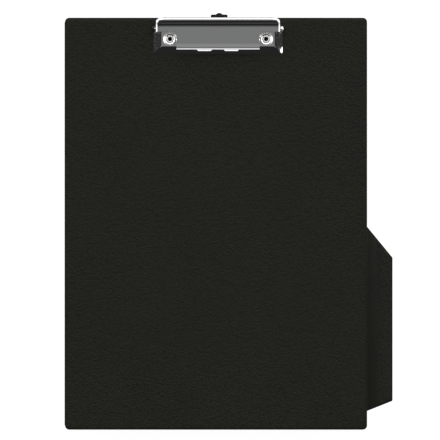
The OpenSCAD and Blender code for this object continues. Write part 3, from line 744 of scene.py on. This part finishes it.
# The bends behind the face are pairs of (radius, new heading), like the moves below
HOLLOW_START = (28, 18)
HOLLOW_RADIUS = 5.5
THUMB_SLOPE = 36.5
SLOPE_RUN = 0.5
CROWN_RADIUS = 6
CROWN_TOP = (2, -7)
CROWN_BACK = (1.6, -36)
THUMB_EDGE = 0.3
THUMB_REACH = 8.5
# The face levels out a little next to the lip
LIP_LEVEL = 9
LEVEL_RUN = 2.2
LEVEL_RADIUS = 12
LEVER_LIFT = 3.9
# The jaw ends and the wide part starts this far behind the rivets' heads
SHOULDER_GAP = 0.6
FACE_ROWS = 24
BACK_ROWS = 8

lip_moves = [LIP_DROP, (LIP_RADIUS, BEVEL_SLOPE), LIP_BEVEL, (LIP_RADIUS, LIP_LEVEL), LEVEL_RUN,
             (LEVEL_RADIUS, JAW_SLOPE)]
thumb_moves = [HOLLOW_START, (HOLLOW_RADIUS, THUMB_SLOPE), SLOPE_RUN, (CROWN_RADIUS, HOLLOW_START[1]),
               CROWN_TOP, CROWN_BACK, THUMB_EDGE, THUMB_EDGE]
shoulder_y = rivet_y + (rivet_high.y - rivet_low.y) / 2 + SHOULDER_GAP - pivot.y
lip_run = bent_line(LIP_TURN, lip_moves)[-1][0].x
thumb_run = bent_line(JAW_SLOPE, thumb_moves)[-1][0].x
level = math.cos(math.radians(JAW_SLOPE))
face_front = (shoulder_y + JAW_REACH - lip_run) / level
face_back = (THUMB_REACH - thumb_run - shoulder_y) / level
sheet_line = bent_line(LIP_TURN, lip_moves + [face_front / FACE_ROWS] * FACE_ROWS
                       + [face_back / BACK_ROWS] * BACK_ROWS + thumb_moves)
shoulder_row = next(i for i, (p, _) in enumerate(sheet_line)
                    if p.x - JAW_REACH > shoulder_y - 0.01)
face_place = sheet_line[shoulder_row][0] - Vector((JAW_REACH, 0))
lift = (LEVER_LIFT - face_place.dot(across_heading(JAW_SLOPE))) / level
sheet_line = [(p + Vector((-JAW_REACH, lift)), heading) for p, heading in sheet_line]
print("sheet from", [round(v, 2) for v in sheet_line[0][0]], "to", [round(v, 2) for v in sheet_line[-1][0]])

# %% [markdown]
# The jaw is the narrow middle of the grid, and its sides are scalloped round the rivets. The lip
# has two short teeth, where its bevel reaches further, and they hold the paper.

# %% Rows across the jaw
JAW_HALF = 31.75
JAW_COLUMNS = 84
SCALLOP = 6.35
TOOTH_PLACES = (-10.4, 10.3)
TOOTH_WIDTH = 10.6
TOOTH_REACH = 1.2
TOOTH_DROP = 0.95
TOOTH_FLANK = 0.8

lever_points, lever_faces = [], []
lip_rows = len(bent_line(LIP_TURN, lip_moves[:2]))


def put(x, spot):
    """Adds a point of the lever: x across from the middle, and its place from the pivot."""
    lever_points.append((pivot.x + x, pivot.y + spot.x, pivot.z + spot.y))
    return len(lever_points) - 1


def jaw_half(y):
    """Half the jaw's width at a distance from the pivot."""
    off = y - (rivet_y - pivot.y)
    if abs(off) >= SCALLOP:
        return JAW_HALF
    return min(JAW_HALF, (rivet_xs[1] - rivet_xs[0]) / 2 - math.sqrt(SCALLOP ** 2 - off ** 2))


def tooth(x):
    """1 on a tooth of the lip, 0 beside it."""
    off = min(abs(x - middle) for middle in TOOTH_PLACES)
    share = min(1, max(0, (TOOTH_WIDTH / 2 - off) / TOOTH_FLANK + 0.5))
    return share * share * (3 - 2 * share)


def jaw_row(number, spot):
    """A row across the jaw, with the teeth pushed out along the lip's bevel."""
    row = []
    for k in range(JAW_COLUMNS + 1):
        x = (2 * k / JAW_COLUMNS - 1) * (jaw_half(spot.x) if number <= shoulder_row else JAW_HALF)
        out = tooth(x) * TOOTH_REACH if number < lip_rows else 0
        down = out * (number > 0)
        row.append(put(x, spot - Vector((out, TOOTH_DROP * down))))
    return row


def join_rows(row_a, row_b):
    """Faces between two rows, as far as the shorter one goes."""
    for k in range(min(len(row_a), len(row_b)) - 1):
        lever_faces.append((row_a[k], row_a[k + 1], row_b[k + 1], row_b[k]))


jaw_rows = [jaw_row(i, spot) for i, (spot, _) in enumerate(sheet_line)]
for row_a, row_b in zip(jaw_rows, jaw_rows[1:]):
    join_rows(row_a, row_b)
print("jaw of", len(jaw_rows), "rows")

# %% [markdown]
# Behind the shoulder the sheet is wide, and its sides go straight down round a bend into the
# cheeks. At the two rear corners the sides move in and the bend gets wider, until it meets the
# thumb edge in a round corner. A cheek is a flat plate with the rod's hole.

# %% Sides and cheeks
# Half the lever's width at its thumb edge, and how much further out its sides lie
CORNER_X = 41.5
CORNER_SIDE = 6.1
# Length of the round corner along the side, and the share of it in front of the sheet's end
CORNER_RUN = 4.9
CORNER_PART = 0.96
# Radius of the bend into the cheek along the side, and at the end of the corner
SIDE_BEND = 2.4
CORNER_BEND = 3.6
CHEEK_RADIUS = 3.4
ROD_BORE = 1.25
SIDE_COLUMNS = 6
BEND_COLUMNS = 6

corner_y = sheet_line[-1][0].x - CORNER_PART * CORNER_RUN


def corner_share(y):
    """How much of the side bend is left at y: all of it along the side, little at the thumb edge."""
    return math.sqrt(max(0, 1 - (max(0, y - corner_y) / CORNER_RUN) ** 2))


def side_row(inner, side, spot):
    """A row from the jaw's edge out to the side and round the bend."""
    share = corner_share(spot.x)
    bend = CORNER_BEND + (SIDE_BEND - CORNER_BEND) * share
    flat = CORNER_X + CORNER_SIDE * share - bend
    row = [inner] + [put(side * (JAW_HALF + (flat - JAW_HALF) * k / SIDE_COLUMNS), spot)
                     for k in range(1, SIDE_COLUMNS + 1)]
    for k in range(1, BEND_COLUMNS + 1):
        turn = math.pi / 2 * k / BEND_COLUMNS
        row.append(put(side * (flat + bend * math.sin(turn)),
                       spot - Vector((0, bend * (1 - math.cos(turn))))))
    return row


for side, edge in ((-1, 0), (1, -1)):
    wings = [side_row(jaw_rows[i][edge], side, sheet_line[i][0])
             for i in range(shoulder_row, len(sheet_line))]
    for row_a, row_b in zip(wings, wings[1:]):
        join_rows(row_a, row_b)
    # The cheek: a flat plate under the bend's end, with the rod's hole
    upper = [wing[-1] for wing, (spot, _) in zip(wings, sheet_line[shoulder_row:]) if spot.x <= corner_y]
    cheek_x = side * (CORNER_X + CORNER_SIDE)
    lower = [put(cheek_x, CHEEK_RADIUS * Vector((math.cos(a), math.sin(a))))
             for a in turns(15, -195, 21)]
    bore = [put(cheek_x, p) for p in circle(ROD_BORE, 24)]
    loops = [[Vector((lever_points[i][1], lever_points[i][2], 0)) for i in loop]
             for loop in (upper + lower, bore)]
    numbers = upper + lower + bore
    lever_faces += [[numbers[i] for i in triangle] for triangle in tessellate_polygon(loops)]
print("lever's surface of", len(lever_faces), "faces")

# %% [markdown]
# The bare surface becomes a sheet, half of its thickness to each side, and its cut edges are
# rounded a little, as tumbling and plating leave them. A narrow round edge is what catches the
# light along a pressed piece.

# %% Sheet metal
CUT_EDGE = 0.15


def sheet_metal(piece, thickness, edge, segments=2):
    """Gives a bare surface the thickness of its sheet, half to each side, and rounds the cut edges.
    The offset isn't evened out at bends, because that throws spikes where a bend is tight."""
    solid = piece.modifiers.new("thickness", "SOLIDIFY")
    solid.thickness = thickness * MM
    solid.offset = 0
    solid.use_even_offset = False
    rounded = piece.modifiers.new("cut_edges", "BEVEL")
    rounded.width = edge * MM
    rounded.segments = segments
    rounded.limit_method = "ANGLE"
    rounded.angle_limit = math.radians(50)
    rounded.harden_normals = True
    return piece


lever = sheet_metal(add_mesh("clip_lever_sheet", lever_points, lever_faces, [chrome], crisp=60),
                    SHEET, CUT_EDGE)
place(lever, "lever", "chrome_plate", "clip_lever")

# %% [markdown]
# ## Base plate
# The plate is a shallow pressed pan: a flat face with a sloping margin on three sides. A press
# leaves a soft bend round the face, so the height is one formula over the plan, with the slopes and
# the face joined by a smooth minimum. The two hips between the slopes are sharp. Near the right-hand
# front corner the margin is drawn steeper in a small drop, which shows as a bright spot.

# %% Height of the pressed pan
PLATE_RISE = 2.8
PLATE_FOOT = 0.2
MARGIN = 6.2
PLATE_CORNER = 2.0
PLATE_T = 0.8
BEND_SOFTNESS = 0.25
# In the drop the margin is this much steeper, and its edge starts this much lower
DROP_STEEPER = 0.18
DROP_LOW = 0.12
DROP_LENGTH = 5.5
DROP_WIDTH = 2

plate_low, plate_high = span("clip_base_plate")
margin_rise = (PLATE_RISE - PLATE_FOOT) / MARGIN
plate_width = plate_high.x - plate_low.x


def soft_min(a, b, softness):
    """The smaller of two values, with a round change from one to the other."""
    return (a + b - math.sqrt((a - b) ** 2 + softness ** 2)) / 2


def drop_change(from_side, from_front):
    """The right-hand edge is drawn steeper in a drop-shaped patch near the front corner."""
    width = DROP_WIDTH * math.sin(math.pi * math.sqrt(min(1, from_front / DROP_LENGTH)))
    rise = DROP_STEEPER * width - DROP_LOW
    if from_side < width:
        return DROP_STEEPER * from_side - DROP_LOW
    return rise * max(0, 1 - (from_side - width) / (MARGIN - width))


def pan_height(from_side, from_front, is_right):
    """The pan's upper side above the board, at distances from its side and its front edge."""
    slope = PLATE_FOOT + margin_rise * min(from_side, from_front)
    if is_right and from_side < from_front < DROP_LENGTH:
        slope += drop_change(from_side, from_front)
    return soft_min(slope, PLATE_RISE + BEND_SOFTNESS ** 2 / 4, BEND_SOFTNESS)


def round_corner(from_side, from_front):
    """Moves the grid's points near a front corner onto a rounded corner."""
    if from_side >= PLATE_CORNER or from_front >= PLATE_CORNER:
        return from_side, from_front
    u, v = 1 - from_side / PLATE_CORNER, 1 - from_front / PLATE_CORNER
    return (PLATE_CORNER * (1 - u * math.sqrt(1 - v * v / 2)),
            PLATE_CORNER * (1 - v * math.sqrt(1 - u * u / 2)))


print("face of the pan", PLATE_RISE, "mm over the board, its margin rises", round(margin_rise, 2), "in 1")

# %% [markdown]
# Two such height fields, for the upper and the lower side of the sheet, and a wall between them
# make the closed sheet. The grid's lines lie close together over the margin, and the cells on the
# hips are split along them.

# %% Pressed pan
# Distances from an edge at which the pan's grid has its lines, close together over the margin
MARGIN_LINES = [0, 0.12, 0.3, 0.55, 0.8, 1.2, 1.6, 2, 2.4, 2.8, 3.2, 3.6, 4, 4.4, 4.8, 5.4, 5.8, 6.2, 6.6,
                7.1, 7.8, 9]
FACE_LINES = 40
DEPTH_LINES = 8
# The hips are sharp, and they bend by a little more than this
HIP_CRISP = 28

pan_back = pivot.y + shoulder_y
face_start = MARGIN_LINES[-1]
depth_lines = MARGIN_LINES + [face_start + (pan_back - plate_low.y - face_start) * k / DEPTH_LINES
                              for k in range(1, DEPTH_LINES + 1)]
width_lines = (MARGIN_LINES
               + [face_start + (plate_width - 2 * face_start) * k / FACE_LINES for k in range(1, FACE_LINES)]
               + [plate_width - d for d in reversed(MARGIN_LINES)])
upper_side, lower_side = [], []
for from_front in depth_lines:
    for across_x in width_lines:
        from_side = min(across_x, plate_width - across_x)
        side_in, front_in = round_corner(from_side, from_front)
        x = side_in if across_x < plate_width / 2 else plate_width - side_in
        z = pan_height(side_in, front_in, across_x > plate_width / 2)
        upper_side.append((plate_low.x + x, plate_low.y + front_in, board_high.z + z))
        lower_side.append((plate_low.x + x, plate_low.y + front_in, board_high.z + max(0, z - PLATE_T)))
count, rows = len(width_lines), len(depth_lines)
total = count * rows
top_faces = []
for r in range(rows - 1):
    for c in range(count - 1):
        a, b = r * count + c, (r + 1) * count + c
        if c == r:
            top_faces += [(a, a + 1, b + 1), (a, b + 1, b)]
        elif c == count - 2 - r:
            top_faces += [(a, a + 1, b), (a + 1, b + 1, b)]
        else:
            top_faces.append((a, a + 1, b + 1, b))
rim = (list(range(count)) + [r * count + count - 1 for r in range(1, rows)]
       + [(rows - 1) * count + c for c in range(count - 2, -1, -1)]
       + [r * count for r in range(rows - 2, 0, -1)])
walls = [(a, b, b + total, a + total) for a, b in zip(rim, rim[1:] + rim[:1])]
low_faces = [[i + total for i in face] for face in top_faces]
pan = add_mesh("plate_pan", upper_side + lower_side, top_faces + low_faces + walls, [chrome],
               crisp=HIP_CRISP)
for x in rivet_xs:
    ring = [p + Vector((x, rivet_y)) for p in circle(RIVET_TUBE / 2, 32)]
    levels = (board_high.z - 1, board_high.z + 2 * PLATE_RISE)
    cut(pan, loft("bore", [at_height(ring, z) for z in levels], [chrome]), crisp=HIP_CRISP)
place(pan, "lid", "chrome_plate", "clip_base_plate")

# %% [markdown]
# Behind the pan a flat tongue carries the two ears for the pivot rod, and two rails under it
# guide the hanger. Tongue and ears are flat sheets cut to an outline, so one helper makes them.


# %% Tongue, ears and rails
def flat_sheet(name, outer, holes, thickness, edge, stand, material, segments=2):
    """A sheet cut to a flat outline with holes. stand puts a point of the outline in its place."""
    loops = [[Vector((p[0], p[1], 0)) for p in loop] for loop in (outer, *holes)]
    points = [stand(p.x, p.y) for loop in loops for p in loop]
    surface = add_mesh(name, points, [list(t) for t in tessellate_polygon(loops)], [material])
    return sheet_metal(surface, thickness, edge, segments)


EAR_X = 46.5
EAR_RADIUS = 3.1

tongue_z = board_high.z + PLATE_RISE - PLATE_T / 2
tongue_half = EAR_X + PLATE_T / 2
tongue = flat_sheet("plate_tongue",
                    outline(rectangle(-tongue_half, pan_back, tongue_half, plate_high.y),
                            [LEAST_RADIUS, LEAST_RADIUS, PLATE_CORNER, PLATE_CORNER]), [],
                    PLATE_T, CUT_EDGE, lambda x, y: (pivot.x + x, y, tongue_z), chrome)
place(tongue, "lid", "chrome_plate", "clip_base_plate")

ear_rise = pivot.z - board_high.z
ear_top = [(EAR_RADIUS * math.cos(a), ear_rise + EAR_RADIUS * math.sin(a)) for a in turns(0, 180, 20)]
ear_shape = [(-EAR_RADIUS, 0.1), (EAR_RADIUS, 0.1)] + ear_top
ear_hole = [(p.x, p.y + ear_rise) for p in circle(ROD_BORE, 32)]
for name, side in (("plate_ear_left", -1), ("plate_ear_right", 1)):
    ear = flat_sheet(name, ear_shape, [ear_hole], PLATE_T, CUT_EDGE,
                     lambda y, z: (pivot.x + side * EAR_X, pivot.y + y, board_high.z + z), chrome)
    place(ear, "lid", "chrome_plate", "clip_base_plate")

# The hanger sits this far to the right of the clip's middle
HOOK_SHIFT = 0.9
SHANK = 8
RAIL = 1.2
RAIL_LENGTH = 7
SLIDE_CLEAR = 0.2

hook_x = pivot.x + HOOK_SHIFT
for name, side in (("hanger_rail_left", -1), ("hanger_rail_right", 1)):
    middle = hook_x + side * (SHANK / 2 + SLIDE_CLEAR + RAIL / 2)
    shape = rectangle(middle - RAIL / 2, plate_high.y - RAIL_LENGTH, middle + RAIL / 2, plate_high.y)
    levels = [(0.12, 0.02), (0, 0.14), (0, PLATE_RISE - PLATE_T), (0.12, PLATE_RISE - PLATE_T + 0.1)]
    rail = loft(name, [at_height(outline(shape, [0.3] * 4, inset), board_high.z + z)
                       for inset, z in levels], [chrome])
    place(rail, "lid", "chrome_plate", "clip_base_plate")

# %% [markdown]
# ## Rivets, washers and rod
# Two tubular rivets hold the clip. Their heads are rolled out into a wide ring, with the end of the
# tube as a smaller ring inside it, and their other ends are clenched over washers inside the
# box. All of these were turned or rolled, so each is a profile carried round an axis.

# %% Rivets and washers
HEAD_RADIUS = 5.3
HEAD_RISE = 1.15
CREST_RADIUS = 4.0
# The rolled end of the tube: middle radius, middle height, half width and half height
TUBE_ROLL = (2.1, 0.6, 0.5, 0.5)
RIVET_HOLE = 1.4
CLENCH = 3.6


def roll(shape, start, end, count):
    """Points on an ellipse (middle radius, middle height, half width, half height) between angles."""
    radius, height, half_w, half_h = shape
    return [(radius + half_w * math.cos(a), height + half_h * math.sin(a)) for a in turns(start, end, count)]


def turned(name, profile, spot, material, closed=True):
    """A profile of (radius, height) carried round an upright axis at spot."""
    rings = [[(spot.x + p.x, spot.y + p.y, spot.z + z) for p in circle(r)] for r, z in profile]
    return loft(name, rings, [material], closed=closed, crisp=50)


# The profiles are (radius, height over the plate's face)
seat_z = board_high.z + PLATE_RISE
washer_z = washer_low.z - seat_z
end_z = rivet_low.z - seat_z
rivet_profile = ([(HEAD_RADIUS - 0.1, 0), (HEAD_RADIUS, 0.05), (HEAD_RADIUS - 0.05, 0.15),
                  (CREST_RADIUS + 0.15, HEAD_RISE - 0.05), (CREST_RADIUS, HEAD_RISE),
                  (CREST_RADIUS - 0.2, HEAD_RISE - 0.02), (CREST_RADIUS - 0.6, HEAD_RISE - 0.3),
                  (CREST_RADIUS - 1, HEAD_RISE - 0.55), (CREST_RADIUS - 1.3, HEAD_RISE - 0.7)]
                 + roll(TUBE_ROLL, 0, 180, 12)
                 + [(RIVET_HOLE, 0.3), (RIVET_HOLE, end_z + 0.5), (1.7, end_z + 0.15), (2.3, end_z)]
                 + [(3.2, end_z + 0.1), (CLENCH, end_z + 0.4), (CLENCH - 0.1, washer_z - 0.02)]
                 + [(RIVET_TUBE / 2, washer_z - 0.02), (RIVET_TUBE / 2, 0.02)])
washer_t = washer_high.z - washer_low.z
washer_profile = [(RIVET_TUBE / 2 + 0.02, 0), (washer_radius - 0.1, 0), (washer_radius, 0.1),
                  (washer_radius, washer_t - 0.1), (washer_radius - 0.1, washer_t),
                  (RIVET_TUBE / 2 + 0.02, washer_t)]
for word, x in zip(("left", "right"), rivet_xs):
    place(turned("rivet_" + word, rivet_profile, Vector((x, rivet_y, seat_z)), nickel),
          "lid", "nickel_plate", "clip_rivets")
    place(turned("washer_" + word, washer_profile, Vector((x, rivet_y, washer_low.z)), nickel),
          "lid", "nickel_plate", "rivet_washers")

# %% [markdown]
# The pivot rod runs through the ears and the cheeks. Its right-hand head was formed round. Its left-hand
# end is flat and coloured as blackened steel, which is painted shade on the end away from the light.

# %% Pivot rod
ROD = 1.2
HEAD = 2.1
HEAD_LENGTH = 1.8

rod_low, rod_high = span("pivot_rod")
head_in, dark_end_in = rod_high.x - HEAD_LENGTH, rod_low.x + HEAD_LENGTH
# Both ends as (place along the rod, radius)
round_end = [(rod_high.x, 1.0), (rod_high.x - 0.12, 1.5), (rod_high.x - 0.45, 1.9), (rod_high.x - 0.9, HEAD),
             (head_in + 0.1, HEAD), (head_in, HEAD - 0.1), (head_in, ROD)]
# The left end gets the blackened steel as painted shade.
painted_dark_end = [(rod_low.x, HEAD - 0.5), (rod_low.x + 0.02, HEAD - 0.1), (rod_low.x + 0.08, HEAD - 0.02),
            (dark_end_in - 0.1, HEAD - 0.02), (dark_end_in, HEAD - 0.1), (dark_end_in, ROD)]
rod_profile = round_end + painted_dark_end[::-1]
rod = loft("pivot_rod_peened", [[(x, pivot.y + p.x, pivot.z + p.y) for p in circle(r, 32)]
                                for x, r in rod_profile], [nickel, black_steel], crisp=50,
           strip_numbers=[0] * len(round_end) + [1] * (len(painted_dark_end) - 1))
place(rod, "lid", "nickel_plate", "pivot_rod")

# %% [markdown]
# ## Torsion spring
# One wire makes the whole spring: a straight leg, nine turns round the rod and a second leg. A
# curve with a round section follows that line, which is how wire is best drawn.

# %% Wound wire
WIRE = 1.0
COIL = 4.8
TURNS = 9
COIL_PITCH = 1.55
LEG = 7
LOWER_LEG_SLOPE = 3
UPPER_LEG_SLOPE = JAW_SLOPE + 4
TURN_POINTS = 24

coil_start = math.radians(270 + LOWER_LEG_SLOPE)
coil_sweep = math.radians(360 * TURNS + 180 - UPPER_LEG_SLOPE - LOWER_LEG_SLOPE)
coil_points = round(TURN_POINTS * coil_sweep / (2 * math.pi))
wire_line = []
for i in range(coil_points + 1):
    angle = coil_start + coil_sweep * i / coil_points
    x = COIL_PITCH * coil_sweep / (2 * math.pi) * (i / coil_points - 0.5)
    wire_line.append(Vector((x, -COIL / 2 * math.cos(angle), COIL / 2 * math.sin(angle))))
for end, angle, sign in ((0, coil_start, -1), (-1, coil_start + coil_sweep, 1)):
    leg_tip = wire_line[end] + sign * LEG * Vector((0, math.sin(angle), math.cos(angle)))
    wire_line.insert(0 if end == 0 else len(wire_line), leg_tip)

wire = bpy.data.curves.new("torsion_spring_wire", "CURVE")
wire.dimensions = "3D"
wire.bevel_depth = WIRE / 2 * MM
wire.bevel_resolution = 3
wire.use_fill_caps = True
run = wire.splines.new("POLY")
run.points.add(len(wire_line) - 1)
for knot, spot in zip(run.points, wire_line):
    knot.co = ((spot + pivot) * MM).to_4d()
run.use_smooth = True
wire.materials.append(spring_steel)
spring = bpy.data.objects.new("torsion_spring_wire", wire)
bpy.context.scene.collection.objects.link(spring)
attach(spring, "lid")
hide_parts("torsion_spring")
print("spring wire with", len(wire_line), "points")

# %% [markdown]
# ## Hanger
# A flat strip of blackened steel slides under the plate. Its end is a hat shape: a rounded tab
# over a wider finger grip, and below them the eye that goes over a nail. Half of the outline is
# worked out, and the other half mirrors it.

# %% Hanger
GRIP_WIDTH = 13
GRIP_HEIGHT = 2.6
GRIP_BACK = 1.2
TAB_RADIUS = 3.4
EYE = 2.1
EYE_WALL = 0.6
STOP_WIDTH = 10.4
STOP_LENGTH = 3
FILLET = 0.5

hook_low, hook_high = span("hanging_hook")
tab_y = hook_high.y - TAB_RADIUS
grip_top = hook_high.y - GRIP_BACK
grip_low = grip_top - GRIP_HEIGHT
tab_edge = math.degrees(math.asin((grip_top + FILLET / 2 - tab_y) / TAB_RADIUS))
tab_arc = [(TAB_RADIUS * math.cos(a), tab_y + TAB_RADIUS * math.sin(a)) for a in turns(90, tab_edge, 10)]
end_x = GRIP_WIDTH / 2 - GRIP_HEIGHT / 2
grip_arc = [(end_x + GRIP_HEIGHT / 2 * math.cos(a), grip_low + GRIP_HEIGHT / 2 * (1 + math.sin(a)))
            for a in turns(90, -90, 12)]
shank = [(SHANK / 2 + FILLET, grip_low), (SHANK / 2, grip_low - FILLET),
         (SHANK / 2, hook_low.y + STOP_LENGTH), (STOP_WIDTH / 2, hook_low.y + STOP_LENGTH),
         (STOP_WIDTH / 2, hook_low.y)]
half_hook = tab_arc + [(tab_arc[-1][0] + FILLET / 2, grip_top)] + grip_arc + shank
hook_shape = [(-x, y) for x, y in reversed(half_hook[1:])] + half_hook
eye_y = grip_low - EYE - EYE_WALL
eye = [(p.x, p.y + eye_y) for p in circle(EYE, 40)]
hanger = flat_sheet("hanger_strip", hook_shape, [eye], hook_high.z - hook_low.z, 0.25,
                    lambda x, y: (hook_x + x, y, (hook_low.z + hook_high.z) / 2), black_steel, 3)
place(hanger, "hanger", "black_steel", "hanging_hook")

# %% [markdown]
# ## Greyboard and closure
# Inside the skins are sheets of greyboard, pressed from waste paper: grey-brown, dull, with short
# fibres and darker specks. They show only at cut edges, so the pieces of the construction stay
# and get the material. The magnets and strikes of the closure are inside as well.

# %% Greyboard
FIBRE = 1.2
SPECK = 0.5

greyboard, board_tree, board_shader, board_where = new_material("pressed_greyboard", Roughness=0.92)
fibres = add_node(board_tree, "ShaderNodeTexNoise", {"Vector": board_where, "Detail": 5,
                                                     "Scale": per_metre(FIBRE)})
specks = add_node(board_tree, "ShaderNodeTexVoronoi", {"Vector": board_where,
                                                       "Scale": per_metre(SPECK)})
mottled = add_node(board_tree, "ShaderNodeMix", {"Factor": fibres.outputs["Fac"],
                                                 "A": linear("#7A7368"), "B": linear("#999184")},
                   data_type="RGBA")
speck_share = add_node(board_tree, "ShaderNodeMapRange", {"Value": specks.outputs["Distance"],
                                                          "From Min": 0.12, "From Max": 0.2,
                                                          "To Min": 0.5, "To Max": 0.0})
specked = add_node(board_tree, "ShaderNodeMix", {"Factor": speck_share.outputs["Result"],
                                                 "A": mottled.outputs[2], "B": linear("#4E4A44")},
                   data_type="RGBA")
board_tree.links.new(specked.outputs[2], board_shader.inputs["Base Color"])
rough_face = add_node(board_tree, "ShaderNodeBump", {"Height": fibres.outputs["Fac"], "Strength": 0.6,
                                                     "Distance": 0.05 * MM})
board_tree.links.new(rough_face.outputs["Normal"], board_shader.inputs["Normal"])

for node, material in [(n, greyboard) for n in frame["nodes"] if n.endswith("_core")] + [
        ("closure_magnets", bar_magnet), ("closure_strikes", plain_steel)]:
    mesh = frame["nodes"][node].data
    mesh.materials.clear()
    mesh.materials.append(material)
print("greyboard, magnets and strikes have their materials")
